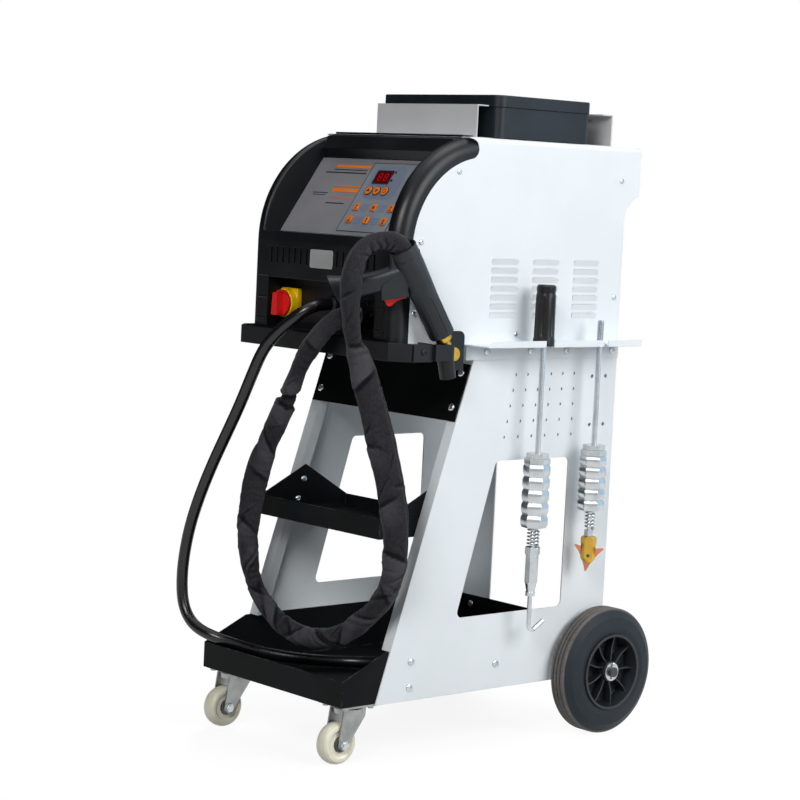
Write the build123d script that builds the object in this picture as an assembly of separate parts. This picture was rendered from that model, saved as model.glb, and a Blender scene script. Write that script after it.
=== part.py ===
"""Dent pulling welder on a two-wheel trolley, in millimetres.

+Z is up, the machine faces -Y and +X is the right-hand side seen from the front.
The origin lies on the floor, under the middle of the machine's own box.
"""
from build123d import *
import math
import os

# Trolley
SHEET = 2.0
PANEL_X = 169.0            # outer face of each side panel
PANEL_BOTTOM = 88.0
PANEL_TOP = 617.0
PANEL_FRONT_LOW = -239.0   # front edge at the bottom
PANEL_FRONT_HIGH = -68.6   # front edge at the top
PANEL_REAR = 236.0
FRONT_FLANGE = 20.0
FRONT_LIP = 18.0           # return of the front flange, parallel to the panel
REAR_FLANGE = 80.0
TOP_FLANGE = 30.0
WINDOW_TOP = 441.0
WINDOW_BOTTOM = 204.5
WINDOW_REAR = 139.0
WINDOW_FRONT_HIGH = -17.5
WINDOW_FRONT_LOW = -86.0
WINDOW_CORNER = 9.0
PEG_R = 2.2
PEG_TOP = 571.7
PEG_PITCH = 23.8
PEG_ROWS = 5
PEG_COLUMNS = 6
PEG_REAR = 140.7
PEG_STEP_TOP = 25.3
PEG_STEP_GROWTH = 0.93
HANGER_R = 3.0
HANGER_Y = 197.3
HANGER_Z = 528.1
HANGER_DY = 30.5
HANGER_DZ = 76.3
FIT_GAP = 0.3              # between sheet parts that are bolted side by side

# Bottom tray
TRAY_FRONT = -302.5
TRAY_BOTTOM = 90.0
TRAY_LIP_TOP = 129.0
TRAY_WALL_TOP = 165.0
TRAY_WALL_FRONT = -223.0

# Middle shelf
SHELF_FRONT = -229.5
SHELF_REAR = -43.0
SHELF_BOTTOM = 330.5
SHELF_LIP_TOP = 361.1
SHELF_REAR_TOP = 351.0
SHELF_EAR_TOP = 402.5
SHELF_EAR_Y = -130.0
SHELF_EAR_START = -212.0   # front end of the ear's slope
SHELF_SCREW_Z = (379.0, 348.0)
SHELF_SCREW_INSET = 10.5   # behind the panel's front edge
SHELF_BEND = 5.0           # inside radius where the floor turns up into the ears

# Upper front panel
UPPER_BOTTOM = 503.0
UPPER_TOP = 588.0

# Tool rack
RACK_LIP_X = 220.0
RACK_FRONT = -94.0
RACK_TOP = 619.0
RACK_LIP = 8.0
RACK_FLANGE = 24.0
RACK_SLOT = 9.5
RACK_LIP_GAP = 17.0

# Rear wheels
WHEEL_R = 100.0
AXLE_Y = 216.0
AXLE_R = 8.0
WASHER_R = 14.5
WASHER_T = 2.0
PIN_R = 1.6
TREAD_INNER = 178.0
TREAD_OUTER = 204.0
SIDEWALL_INNER = TREAD_INNER - 4.5
SIDEWALL_OUTER = TREAD_OUTER + 11.5
HUB_SINK = 2.0             # hub's end inside the sidewall's outer face
WASHER_X = SIDEWALL_OUTER - HUB_SINK + 0.3
AXLE_END = WASHER_X + 7.2
RIM_R = 60.0
HUB_R = 19.0
SPOKES = 9
RUNNING = 0.05             # radial clearance of what turns or slides

# Casters
CASTER_X = 137.2
CASTER_Y = -264.0
CASTER_TRAIL = 20.4
CASTER_R = 31.5
CASTER_WIDTH = 24.0
CASTER_PLATE = 62.0
CASTER_BOLT_R = 4.0
KINGPIN_R = 6.0

# Welder housing
COVER_T = 1.5
COVER_TOP = 926.0
COVER_EDGE = 8.0
COVER_REAR_LOW = 235.0
COVER_REAR_HIGH = 266.0
REAR_STEP_LOW = 797.0
REAR_STEP_HIGH = 851.0
ARC_Y = -69.4              # centre of the bezel's round shoulder
ARC_Z = 757.0
ARC_R = 170.0
RAIL_DEPTH = 30.0
RAIL_END = -86.0
RAIL_INNER = 143.0
RAIL_ROUND = 21.0
RAIL_INNER_ROUND = 4.0
LOUVRE_Z = 746.8
LOUVRE_PITCH = 13.5
LOUVRE_ROWS = 7
LOUVRE_Y = (-21.5, 65.5, 153.9)
LOUVRE_LENGTH = 53.5
LOUVRE_TALL = 8.5
LOUVRE_OUT = 3.0
LOUVRE_WALL = 1.1

# Fan in the rear panel
FAN_X = 70.0
FAN_Z = 710.0
FAN_R = 55.0
FAN_SIZE = 120.0
FAN_DEPTH = 25.0

# Bezel
RECESS_HALF = 126.0
RECESS_TOP = 701.0
RECESS_FLOOR = 624.0
RECESS_BACK = -206.0
BEZEL_WALL = 4.0
PANEL_LOW = (-207.2, 771.3)
PANEL_HIGH = (-126.3, 887.4)
PANEL_T = 2.0
SLOT_PITCH = 14.18
SLOTS = 18
SLOT_TOP = 748.0
SLOT_HEIGHT = 24.0
SLOT_WIDTH = 4.0
BADGE_HALF = 31.0

# Front ledge
LEDGE_FRONT = -251.5
LEDGE_HALF = 198.0
LEDGE_CHAMFER = 25.0
LEDGE_BOTTOM = 596.0
LEDGE_TOP = 623.0
LEDGE_SIDE_END = -188.0
LEDGE_BACK = -120.0
LEDGE_WALL = 3.0

# Main switch
SWITCH_X = -104.0
SWITCH_Z = 661.7
SWITCH_WIDE = 41.0
SWITCH_TALL = 46.0
SWITCH_DEPTH = 20.5
KNOB_R = 20.3
KNOB_T = 4.5
KNOB_DISH = 2.0
BAR_OUT = 12.0             # grip bar beyond the knob's disc
KNOB_SHAFT_R = 5.0

# Glands
EARTH_X = 14.0
EARTH_Z = 667.0
TORCH_X = 70.0
TORCH_Z = 655.0
GLAND_FRONT = -232.0

# Gun
GUN_NOSE = (196.0, -168.9, 637.5)
GUN_TAIL = (198.0, -255.4, 762.0)
GUN_GRIP_END = (130.4, -324.8, 698.0)
BARREL_R_NOSE = 19.0
BARREL_R_TAIL = 20.8
GRIP_HALF_WIDE = 13.0
GRIP_HALF_TALL = 18.0
GRIP_LEVEL = 107.0
GRIP_FLARE = 3.0           # how much taller the butt is than the grip
WEB_TOP = 44.0             # where the web under the tail meets the barrel, above the grip's level
WEB_END = 52.0             # where it runs out on the grip
HOUSING_PROUD = 1.2        # trigger housing beyond the grip's sides
TRIGGER_TRAVEL = 4.0
TRIGGER_WIDE = 12.0
TRIGGER_X0 = 25.0          # trigger's ends along the grip
TRIGGER_X1 = 55.0
TAIL_CUP_R = 18.6          # open end of the barrel, where the sleeve goes in
TAIL_CUP_DEEP = 12.0
NOZZLE_COLLAR_R = 12.5
NOZZLE_COLLAR = 10.0
NOZZLE_R = 7.5
NOZZLE_LENGTH = 34.0
HOLDER_X = 193.0           # middle of the holder's ring
HOLDER_Y = -157.0
HOLDER_R = 13.5
HOLDER_BORE_R = 10.5
HOLDER_CUP = 33.0
HOLDER_CUP_R = 12.7
HOLDER_PLATE_TOP = 641.0

# Cords
EARTH_D = 18.0
SLEEVE_D = 33.0
COIL_X = 50.0
COIL_Y = 60.0
COIL_R = 100.0
COIL_STEP = 20.0           # change of radius in a turn
COIL_LOW_Z = TRAY_BOTTOM + SHEET + EARTH_D / 2 + 0.3
COIL_LAYER = EARTH_D + 0.7
COIL_QUARTERS = 9
COIL_TAIL = 50.0

# Earth clamp
CLAMP_TALL = 24.0
CLAMP_PIVOT = 62.0
CLAMP_PIN_R = 3.0
CLAMP_CABLE_OFFSET = 13.0  # from the clamp's middle line to its cable

# Tool box
BRACKET_T = 2.0
BRACKET_HALF = 115.0
BRACKET_FRONT = -43.0
BRACKET_REAR = 253.0
BRACKET_HEIGHT = 51.0      # lips' top above the cover
BRACKET_TOP = COVER_TOP + BRACKET_HEIGHT
BRACKET_LIP = 23.0
BOX_LEFT = -138.0
BOX_RIGHT = 129.0
BOX_FRONT = -12.4
BOX_REAR = 190.0
BOX_HEIGHT = 47.0          # from the bracket's floor to the lid line
BOX_LID_LINE = COVER_TOP + BRACKET_T + BOX_HEIGHT
LID_HEIGHT = 18.0
BOX_TOP = BOX_LID_LINE + LID_HEIGHT
BOX_WALL = 2.0
BOX_CORNER = 14.0
LID_OVER = 2.0             # lid's overhang all round
HINGE_OUT = 2.4            # hinge pin behind the box

# Slide hammers
TOOL_X = 205.0
HOOK_Y = 34.0
CLAW_Y = 157.0
ROD_R = 4.3
HOOK_ROD_LOW = 290.0
HOOK_ROD_TOP = 660.0
CLAW_ROD_LOW = 312.0
CLAW_ROD_TOP = 657.0
WEIGHT_FLAT = 18.6         # half the width over the weight's flats
WEIGHT_CORNER_R = 20.9
WEIGHT_WAVE = 2.6
WEIGHT_RINGS = 5
WEIGHT_TURN = -46.8        # heading of one of its flats
GRIP_R = 15.2
HOOK_WEIGHT = (341.0, 455.0)
CLAW_WEIGHT = (360.5, 463.0)
HOOK_SPRING_R = 8.3
CLAW_SPRING_R = 7.2
SPRING_WIRE = 3.0
SPRING_TURNS = 5
HOOK_WIRE_R = 3.5
HOOK_BEND = 8.0
CLAW_TURN = -45.0          # the claw's flat side faces the front right
CLAW_PIN_Z = 290.0
CLAW_HALF_T = 1.3

# Screws
SCREW_R = 6.0
SCREW_T = 3.5
SMALL_SCREW_R = 4.5
SMALL_SCREW_T = 2.6
COVER_SCREWS = (
    (-124.5, 874.0), (-193.8, 769.0), (-200.8, 665.0), (224.2, 873.0), (220.9, 690.5), (8.7, 633.0))


def block(x0, x1, y0, y1, z0, z1):
    """A box between two corners."""
    centre = Pos((x0 + x1) / 2, (y0 + y1) / 2, (z0 + z1) / 2)
    return centre * Box(x1 - x0, y1 - y0, z1 - z0)


def prism_x(points, x0, x1):
    """A polygon of (y, z) points, pulled along X."""
    face = make_face(Polyline(*points, close=True))
    return extrude(Plane.YZ.offset(x0) * face, x1 - x0)


def prism_z(points, z0, z1):
    """A polygon of (x, y) points, pulled up along Z."""
    face = make_face(Polyline(*points, close=True))
    return extrude(Plane.XY.offset(z0) * face, z1 - z0)


def rod_x(r, x0, x1, y, z):
    return Pos((x0 + x1) / 2, y, z) * Rot(0, 90, 0) * Cylinder(r, x1 - x0)


def rod_y(r, y0, y1, x, z):
    return Pos(x, (y0 + y1) / 2, z) * Rot(90, 0, 0) * Cylinder(r, y1 - y0)


def rod_z(r, z0, z1, x, y):
    return Pos(x, y, (z0 + z1) / 2) * Cylinder(r, z1 - z0)


def spin(points):
    """A closed (radius, height) outline turned about Z."""
    return revolve(Plane.XZ * make_face(Polyline(*points, close=True)), Axis.Z)


def mirrored(shape):
    return mirror(shape, about=Plane.YZ)


def biarc(p0, t0, p1, t1):
    """Two tangent arcs that leave p0 along t0 and reach p1 along t1."""
    v = p1 - p0
    lean = v.dot(t0 + t1)
    spread = 2 * (1 - t0.dot(t1))
    if spread < 1e-9:
        reach = v.dot(v) / (2 * lean)
    else:
        reach = (math.sqrt(lean * lean + spread * v.dot(v)) - lean) / spread
    middle = (p0 + t0 * reach + p1 - t1 * reach) * 0.5
    first = TangentArc(p0, middle, tangent=t0)
    return [first, TangentArc(middle, p1, tangent=first % 1)]


def swept_tube(path, r):
    start = path @ 0
    section = Plane(origin=start, z_dir=path % 0) * Circle(r)
    return sweep(section, path=path)


def cord_path(points):
    """Straight runs joined by the largest tangent arcs that they allow."""
    at = [Vector(*p) for p in points]
    radii = []
    for before, here, after in zip(at, at[1:], at[2:]):
        turn = math.radians((here - before).get_angle(after - here))
        shorter = min((here - before).length, (after - here).length)
        radii.append(0.45 * shorter / math.tan(turn / 2))
    return FilletPolyline(*at, radius=radii), radii


def front_edge(z):
    share = (z - PANEL_BOTTOM) / (PANEL_TOP - PANEL_BOTTOM)
    return PANEL_FRONT_LOW + share * (PANEL_FRONT_HIGH - PANEL_FRONT_LOW)


def screw_head(r, t):
    """A low domed head that stands on the plane z = 0."""
    return spin([(0, 0), (r, 0), (r, t * 0.4), (r * 0.7, t * 0.85), (0, t)])


# Trolley pieces

def side_panel(pegged):
    """Right-hand panel: a folded sheet with a window, a front, a rear and a top flange."""
    inner = PANEL_X - SHEET
    outline = [
        (front_edge(PANEL_BOTTOM), PANEL_BOTTOM),
        (PANEL_REAR, PANEL_BOTTOM),
        (PANEL_REAR, PANEL_TOP),
        (front_edge(PANEL_TOP), PANEL_TOP),
    ]
    panel = prism_x(outline, inner, PANEL_X)
    window = make_face(Polyline(
        (WINDOW_FRONT_LOW, WINDOW_BOTTOM), (WINDOW_REAR, WINDOW_BOTTOM),
        (WINDOW_REAR, WINDOW_TOP), (WINDOW_FRONT_HIGH, WINDOW_TOP), close=True))
    window = fillet(window.vertices(), WINDOW_CORNER)
    panel -= extrude(Plane.YZ.offset(inner - 1) * window, SHEET + 2)
    low = TRAY_WALL_TOP + FIT_GAP
    front = [(front_edge(low), low), (front_edge(low) + SHEET, low),
             (front_edge(PANEL_TOP) + SHEET, PANEL_TOP), (front_edge(PANEL_TOP), PANEL_TOP)]
    panel += prism_x(front, PANEL_X - FRONT_FLANGE, inner)
    lip = [(front_edge(low), low), (front_edge(low) + FRONT_LIP, low),
           (front_edge(PANEL_TOP) + FRONT_LIP, PANEL_TOP), (front_edge(PANEL_TOP), PANEL_TOP)]
    panel += prism_x(lip, PANEL_X - FRONT_FLANGE, PANEL_X - FRONT_FLANGE + SHEET)
    panel += block(PANEL_X - REAR_FLANGE, inner, PANEL_REAR - SHEET, PANEL_REAR,
                   PANEL_BOTTOM, PANEL_TOP)
    panel += block(PANEL_X - TOP_FLANGE, inner, front_edge(PANEL_TOP), PANEL_REAR,
                   PANEL_TOP - SHEET, PANEL_TOP)
    panel -= rod_x(AXLE_R, inner - 1, PANEL_X + 1, AXLE_Y, WHEEL_R)
    if pegged:
        for row in range(PEG_ROWS):
            z = PEG_TOP - row * PEG_PITCH
            step = PEG_STEP_TOP + row * PEG_STEP_GROWTH
            for column in range(PEG_COLUMNS):
                panel -= rod_x(PEG_R, inner - 1, PANEL_X + 1, PEG_REAR - column * step, z)
        for dy in (-0.5, 0.5):
            for dz in (-0.5, 0.5):
                panel -= rod_x(HANGER_R, inner - 1, PANEL_X + 1, HANGER_Y + dy * HANGER_DY,
                               HANGER_Z + dz * HANGER_DZ)
    return panel


def bottom_tray():
    """Black folded tray: a low front lip, side walls that rise to the panels and a rear wall."""
    half = PANEL_X - SHEET
    rear = PANEL_REAR - SHEET
    side = [
        (TRAY_FRONT, TRAY_BOTTOM), (rear, TRAY_BOTTOM), (rear, TRAY_WALL_TOP),
        (TRAY_WALL_FRONT, TRAY_WALL_TOP), (TRAY_FRONT, TRAY_LIP_TOP),
    ]
    tray = block(-half, half, TRAY_FRONT, rear, TRAY_BOTTOM, TRAY_BOTTOM + SHEET)
    wall = prism_x(side, half - SHEET, half)
    tray += wall + mirrored(wall)
    tray += block(-half, half, TRAY_FRONT, TRAY_FRONT + SHEET, TRAY_BOTTOM, TRAY_LIP_TOP)
    tray += block(-half, half, rear - SHEET, rear, TRAY_BOTTOM, TRAY_WALL_TOP)
    return tray - rod_x(AXLE_R, -half - 1, half + 1, AXLE_Y, WHEEL_R)


def shelf_half():
    """Half the shelf's width: it hangs between the lips of the front flanges."""
    return PANEL_X - FRONT_FLANGE - FIT_GAP


def middle_shelf():
    """Black shelf with front and rear lips and a pointed ear at each end."""
    half = shelf_half()
    inner = half - SHEET
    floor = SHELF_BOTTOM + SHEET
    ear = [
        (SHELF_FRONT, SHELF_BOTTOM), (SHELF_REAR, SHELF_BOTTOM), (SHELF_REAR, SHELF_REAR_TOP),
        (SHELF_EAR_Y, SHELF_EAR_TOP), (SHELF_EAR_START, SHELF_LIP_TOP), (SHELF_FRONT, SHELF_LIP_TOP),
    ]
    end = prism_x(ear, inner, half)
    bend = block(inner - SHELF_BEND, inner, SHELF_FRONT, SHELF_REAR, floor, floor + SHELF_BEND)
    bend -= rod_y(SHELF_BEND, SHELF_FRONT - 1, SHELF_REAR + 1, inner - SHELF_BEND, floor + SHELF_BEND)
    end += bend
    shelf = block(-half, half, SHELF_FRONT, SHELF_REAR, SHELF_BOTTOM, floor)
    shelf += end + mirrored(end)
    shelf += block(-half, half, SHELF_FRONT, SHELF_FRONT + SHEET, SHELF_BOTTOM, SHELF_LIP_TOP)
    shelf += block(-half, half, SHELF_REAR - SHEET, SHELF_REAR, SHELF_BOTTOM, SHELF_REAR_TOP)
    return shelf


def upper_front_panel():
    """Black plate on the sloping front flanges, under the welder."""
    half = PANEL_X - SHEET
    low = front_edge(UPPER_BOTTOM)
    high = front_edge(UPPER_TOP)
    plate = [(low - SHEET, UPPER_BOTTOM), (low, UPPER_BOTTOM), (high, UPPER_TOP), (high - SHEET, UPPER_TOP)]
    return prism_x(plate, -half, half)


def tool_rack():
    """White angle on the right panel with an upturned lip and two open slots."""
    plate = block(PANEL_X, RACK_LIP_X, RACK_FRONT, PANEL_REAR, RACK_TOP - SHEET, RACK_TOP)
    plate += block(PANEL_X, PANEL_X + SHEET, RACK_FRONT, PANEL_REAR, RACK_TOP - RACK_FLANGE, RACK_TOP)
    low = RACK_TOP - SHEET
    high = RACK_TOP + RACK_LIP
    lip = [(RACK_FRONT, low), (PANEL_REAR, low), (PANEL_REAR, high), (RACK_FRONT + 10.0, high)]
    plate += prism_x(lip, RACK_LIP_X - SHEET, RACK_LIP_X)
    for y, gap in ((HOOK_Y, RACK_LIP_GAP), (CLAW_Y, RACK_SLOT)):
        wide = RACK_SLOT / 2
        slot = block(TOOL_X, RACK_LIP_X + 1, y - wide, y + wide, RACK_TOP - 10, RACK_TOP + 1)
        slot += rod_z(wide, RACK_TOP - 10, RACK_TOP + 1, TOOL_X, y)
        slot += block(RACK_LIP_X - SHEET - 1, RACK_LIP_X + 1, y - gap / 2, y + gap / 2,
                      RACK_TOP - 10, RACK_TOP + 20)
        plate -= slot
    return plate


def trolley_screw_places():
    right = Plane(origin=(0, 0, 0), x_dir=(0, 1, 0), z_dir=(1, 0, 0))
    left = Plane(origin=(0, 0, 0), x_dir=(0, -1, 0), z_dir=(-1, 0, 0))
    places = []
    for y, z in ((-173.0, 147.0), (-174.0, 108.0), (2.0, 127.0)):
        places.append(Pos(PANEL_X, y, z) * right.location)
        places.append(Pos(-PANEL_X, y, z) * left.location)
    for y in (-51.0, 41.0, 119.0, 221.0):
        places.append(Pos(PANEL_X + SHEET, y, RACK_TOP - 11.0) * right.location)
    inner = shelf_half() - SHEET
    for z in SHELF_SCREW_Z:
        y = front_edge(z) + SHELF_SCREW_INSET
        places.append(Pos(inner, y, z) * left.location)
        places.append(Pos(-inner, y, z) * right.location)
    slope = math.atan2(PANEL_FRONT_HIGH - PANEL_FRONT_LOW, PANEL_TOP - PANEL_BOTTOM)
    outward = (0, -math.cos(slope), math.sin(slope))
    for x in (-153.0, 153.0):
        for z in (UPPER_BOTTOM + 20.0, UPPER_TOP - 14.0):
            face = Plane(origin=(x, front_edge(z) - SHEET, z), x_dir=(1, 0, 0), z_dir=outward)
            places.append(face.location)
    rear = Plane(origin=(0, 0, 0), x_dir=(1, 0, 0), z_dir=(0, -1, 0))
    for x in (-131.0, 131.0):
        places.append(Pos(x, PANEL_REAR - 2 * SHEET, TRAY_WALL_TOP - 15.0) * rear.location)
    return places


# Running gear

def tyre():
    """Rubber tyre with three grooves round its tread, about the X axis at the axle."""
    middle = (TREAD_INNER + TREAD_OUTER) / 2
    spread = (TREAD_OUTER - TREAD_INNER) / 26.0
    outline = [(RIM_R, SIDEWALL_INNER + 1.5), (70.0, SIDEWALL_INNER), (86.0, SIDEWALL_INNER + 1.0),
               (WHEEL_R - 3.0, TREAD_INNER), (WHEEL_R, TREAD_INNER + 1.5)]
    for groove in (-7.0, 0.0, 7.0):
        x = middle + groove * spread
        outline += [(WHEEL_R, x - 1.5 * spread), (WHEEL_R - 2.4, x - 0.8 * spread),
                    (WHEEL_R - 2.4, x + 0.8 * spread), (WHEEL_R, x + 1.5 * spread)]
    outline += [(WHEEL_R, TREAD_OUTER - 1.2), (WHEEL_R - 1.2, TREAD_OUTER),
                (WHEEL_R - 4.0, TREAD_OUTER + 1.2), (86.0, SIDEWALL_OUTER - 3.0),
                (70.0, SIDEWALL_OUTER), (RIM_R, SIDEWALL_OUTER - 1.5)]
    return on_axle(spin(outline))


def on_axle(shape):
    """Turns a shape made about Z so that Z becomes +X, at the rear axle."""
    return Pos(0, AXLE_Y, WHEEL_R) * Rot(0, 90, 0) * shape


def rim():
    """Moulded rim: a dished barrel, a web, curved spokes and a long hub."""
    web = (SIDEWALL_INNER + SIDEWALL_OUTER) / 2 - 6.0
    seat = RIM_R
    barrel = [(seat, SIDEWALL_INNER + 1.0), (seat, SIDEWALL_OUTER + 1.5),
              (seat - 4.0, SIDEWALL_OUTER + 1.5), (seat - 9.0, web + 4.0), (HUB_R - 4.0, web + 4.0),
              (HUB_R - 4.0, web), (seat - 7.0, web),
              (seat - 4.0, SIDEWALL_INNER + 1.0)]
    shape = spin(barrel)
    hub_end = SIDEWALL_OUTER - HUB_SINK
    shape += rod_z(HUB_R - 3.0, SIDEWALL_INNER, hub_end, 0, 0)
    for k in range(SPOKES):
        spoke = JernArc(start=(HUB_R - 5.0, 0), tangent=(1, 0.55), radius=70.0, arc_size=-34.0)
        blade = extrude(Plane.XY.offset(web + 3.0) * trace(spoke, 2.2), 17.0)
        shape += Rot(0, 0, k * 360 / SPOKES) * blade
    shape -= rod_z(AXLE_R + RUNNING, SIDEWALL_INNER - 1, hub_end + 1, 0, 0)
    return on_axle(shape)


def pin_x():
    return WASHER_X + WASHER_T + PIN_R + 0.2


def rear_axle():
    """Steel axle with a cross hole near each end."""
    axle = rod_x(AXLE_R, -AXLE_END, AXLE_END, AXLE_Y, WHEEL_R)
    for x in (-pin_x(), pin_x()):
        axle -= rod_z(PIN_R, WHEEL_R - 20, WHEEL_R + 20, x, AXLE_Y)
    return axle


def axle_hardware():
    """Spacer, washer and split pin of each rear wheel."""
    bore = rod_x(AXLE_R, 0, AXLE_END, AXLE_Y, WHEEL_R)
    washer = rod_x(WASHER_R, WASHER_X, WASHER_X + WASHER_T, AXLE_Y, WHEEL_R) - bore
    spacer = rod_x(13.0, PANEL_X, SIDEWALL_INNER - FIT_GAP, AXLE_Y, WHEEL_R) - bore
    pin = rod_z(PIN_R, WHEEL_R - 12.0, WHEEL_R + 12.0, pin_x(), AXLE_Y)
    pin += Pos(pin_x(), AXLE_Y, WHEEL_R + 13.0) * Sphere(2.8)
    pieces = [washer, spacer, pin]
    return Compound(children=pieces + [mirrored(piece) for piece in pieces])


# Casters: made for the right side and mirrored

def caster_plate():
    """Top plate under the tray with the kingpin that the fork turns on."""
    top = TRAY_BOTTOM
    half = CASTER_PLATE / 2
    plate = block(CASTER_X - half, CASTER_X + half - 1.2, CASTER_Y - half, CASTER_Y + half, top - 3.0, top)
    plate += rod_z(17.0, top - 7.0, top - 3.0, CASTER_X, CASTER_Y)
    plate += rod_z(KINGPIN_R, top - 16.0, top - 7.0, CASTER_X, CASTER_Y)
    plate += rod_z(KINGPIN_R + 3.0, top - 19.0, top - 16.0, CASTER_X, CASTER_Y)
    for dx in (-1, 1):
        for dy in (-1, 1):
            plate += rod_z(4.5, top - 6.5, top - 3.0, CASTER_X + dx * (half - 7.5),
                           CASTER_Y + dy * (half - 7.5))
    return plate


def caster_fork():
    """Pressed fork: a round crown and two tapering legs down to the wheel's bolt."""
    top = TRAY_BOTTOM - 7.0 - FIT_GAP
    crown_t = 7.5
    leg_in = CASTER_WIDTH / 2 + 2.0
    wheel_y = CASTER_Y - CASTER_TRAIL
    fork = rod_z(22.0, top - crown_t, top, CASTER_X, CASTER_Y)
    fork -= rod_z(KINGPIN_R + RUNNING, top - crown_t - 1, top + 1, CASTER_X, CASTER_Y)
    leg = make_face(Polyline(
        (CASTER_Y - 21.0, top), (CASTER_Y + 21.0, top), (CASTER_Y + 20.0, top - 12.0),
        (wheel_y + 9.0, CASTER_R - 3.0), (wheel_y, CASTER_R - 9.5), (wheel_y - 9.0, CASTER_R - 3.0),
        close=True))
    for x in (CASTER_X + leg_in, CASTER_X - leg_in - 2.5):
        fork += extrude(Plane.YZ.offset(x) * leg, 2.5)
    bridge = block(CASTER_X - leg_in - 2.5, CASTER_X + leg_in + 2.5, CASTER_Y - 14.0, CASTER_Y + 14.0,
                   top - 2.5, top)
    fork += bridge
    fork -= rod_z(KINGPIN_R + RUNNING, top - 4.0, top + 1, CASTER_X, CASTER_Y)
    return fork - rod_x(CASTER_BOLT_R, CASTER_X - 40, CASTER_X + 40, wheel_y, CASTER_R)


def caster_axle():
    """Bolt through the fork with a head and a nut."""
    wheel_y = CASTER_Y - CASTER_TRAIL
    end = CASTER_WIDTH / 2 + 2.0 + 2.5
    bolt = rod_x(CASTER_BOLT_R, CASTER_X - end - 5.0, CASTER_X + end + 7.0, wheel_y, CASTER_R)
    hexagon = Pos(wheel_y, CASTER_R) * RegularPolygon(7.0, 6)
    nut = extrude(Plane.YZ.offset(CASTER_X + end) * hexagon, 5.0)
    head = extrude(Plane.YZ.offset(CASTER_X - end - 4.0) * hexagon, 4.0)
    return bolt + nut + head


def caster_wheel():
    """Nylon wheel with a crowned tread and a long hub."""
    half = CASTER_WIDTH / 2
    bore = CASTER_BOLT_R + RUNNING
    right = [(22.0, half), (CASTER_R - 5.0, half), (CASTER_R - 1.9, half - 3.0),
             (CASTER_R - 0.6, half - 6.5), (CASTER_R, 2.0)]
    left = [(r, -x) for r, x in reversed(right)]
    hub_right = [(bore, half + 1.2), (11.0, half + 1.2), (12.0, half - 2.0), (19.0, half - 2.0)]
    hub_left = [(r, -x) for r, x in reversed(hub_right)]
    wheel = spin(hub_right + right + left + hub_left)
    return Pos(CASTER_X, CASTER_Y - CASTER_TRAIL, CASTER_R) * Rot(0, 90, 0) * wheel


# Welder housing

def shoulder_band():
    """Side outline of the bezel: an upright, a quarter round and a rounded end at the top."""
    inner_r = ARC_R - RAIL_DEPTH
    front = ARC_Y - ARC_R
    back = ARC_Y - inner_r
    half = RAIL_DEPTH / 2
    lean = rail_lean()
    cut = (math.cos(lean), math.sin(lean))
    outer_end = (ARC_Y - ARC_R * cut[0], ARC_Z + ARC_R * cut[1])
    inner_end = (ARC_Y - inner_r * cut[0], ARC_Z + inner_r * cut[1])
    tip = (ARC_Y - (ARC_R - half) * cut[0] + half * cut[1], ARC_Z + (ARC_R - half) * cut[1] + half * cut[0])
    mid = lean / 2
    outer_mid = (ARC_Y - ARC_R * math.cos(mid), ARC_Z + ARC_R * math.sin(mid))
    inner_mid = (ARC_Y - inner_r * math.cos(mid), ARC_Z + inner_r * math.sin(mid))
    edges = [
        Line((back, PANEL_TOP), (front, PANEL_TOP)),
        Line((front, PANEL_TOP), (front, ARC_Z)),
        ThreePointArc((front, ARC_Z), outer_mid, outer_end),
        ThreePointArc(outer_end, tip, inner_end),
        ThreePointArc(inner_end, inner_mid, (back, ARC_Z)),
        Line((back, ARC_Z), (back, PANEL_TOP)),
    ]
    return make_face(edges)


def band_solid(x0, x1):
    return extrude(Plane.YZ.offset(x0) * shoulder_band(), x1 - x0)


def cover_outline(inset):
    """Side outline of the welder behind the bezel, drawn in by a wall."""
    front = ARC_Y - ARC_R
    low = COVER_REAR_LOW - inset
    high = COVER_REAR_HIGH - inset
    top = COVER_TOP - inset
    bend_y = low + (high - low) * 0.24
    bend_z = REAR_STEP_LOW + (REAR_STEP_HIGH - REAR_STEP_LOW) * 0.68
    edges = [
        Line((front, PANEL_TOP), (low, PANEL_TOP)),
        Line((low, PANEL_TOP), (low, REAR_STEP_LOW)),
        ThreePointArc((low, REAR_STEP_LOW), (bend_y, bend_z), (high, REAR_STEP_HIGH)),
        Line((high, REAR_STEP_HIGH), (high, top)),
        Line((high, top), (front, top)),
        Line((front, top), (front, PANEL_TOP)),
    ]
    return make_face(edges)


def front_of_arc():
    """All that lies in front of the bezel's round shoulder, to trim the cover's outline."""
    far = ARC_Y - ARC_R - 200.0
    inner_r = ARC_R - RAIL_DEPTH
    high = COVER_TOP + 50.0
    edges = [
        Line((far, PANEL_TOP - 10), (ARC_Y - inner_r, PANEL_TOP - 10)),
        Line((ARC_Y - inner_r, PANEL_TOP - 10), (ARC_Y - inner_r, ARC_Z)),
        ThreePointArc((ARC_Y - inner_r, ARC_Z),
                      (ARC_Y - inner_r * math.cos(math.pi / 4), ARC_Z + inner_r * math.sin(math.pi / 4)),
                      (RAIL_END - RAIL_DEPTH / 2,
                       ARC_Z + math.sqrt(inner_r ** 2 - (RAIL_END - RAIL_DEPTH / 2 - ARC_Y) ** 2))),
        Line((RAIL_END - RAIL_DEPTH / 2,
              ARC_Z + math.sqrt(inner_r ** 2 - (RAIL_END - RAIL_DEPTH / 2 - ARC_Y) ** 2)),
             (RAIL_END - RAIL_DEPTH / 2, high)),
        Line((RAIL_END - RAIL_DEPTH / 2, high), (far, high)),
        Line((far, high), (far, PANEL_TOP - 10)),
    ]
    return make_face(edges)


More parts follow.
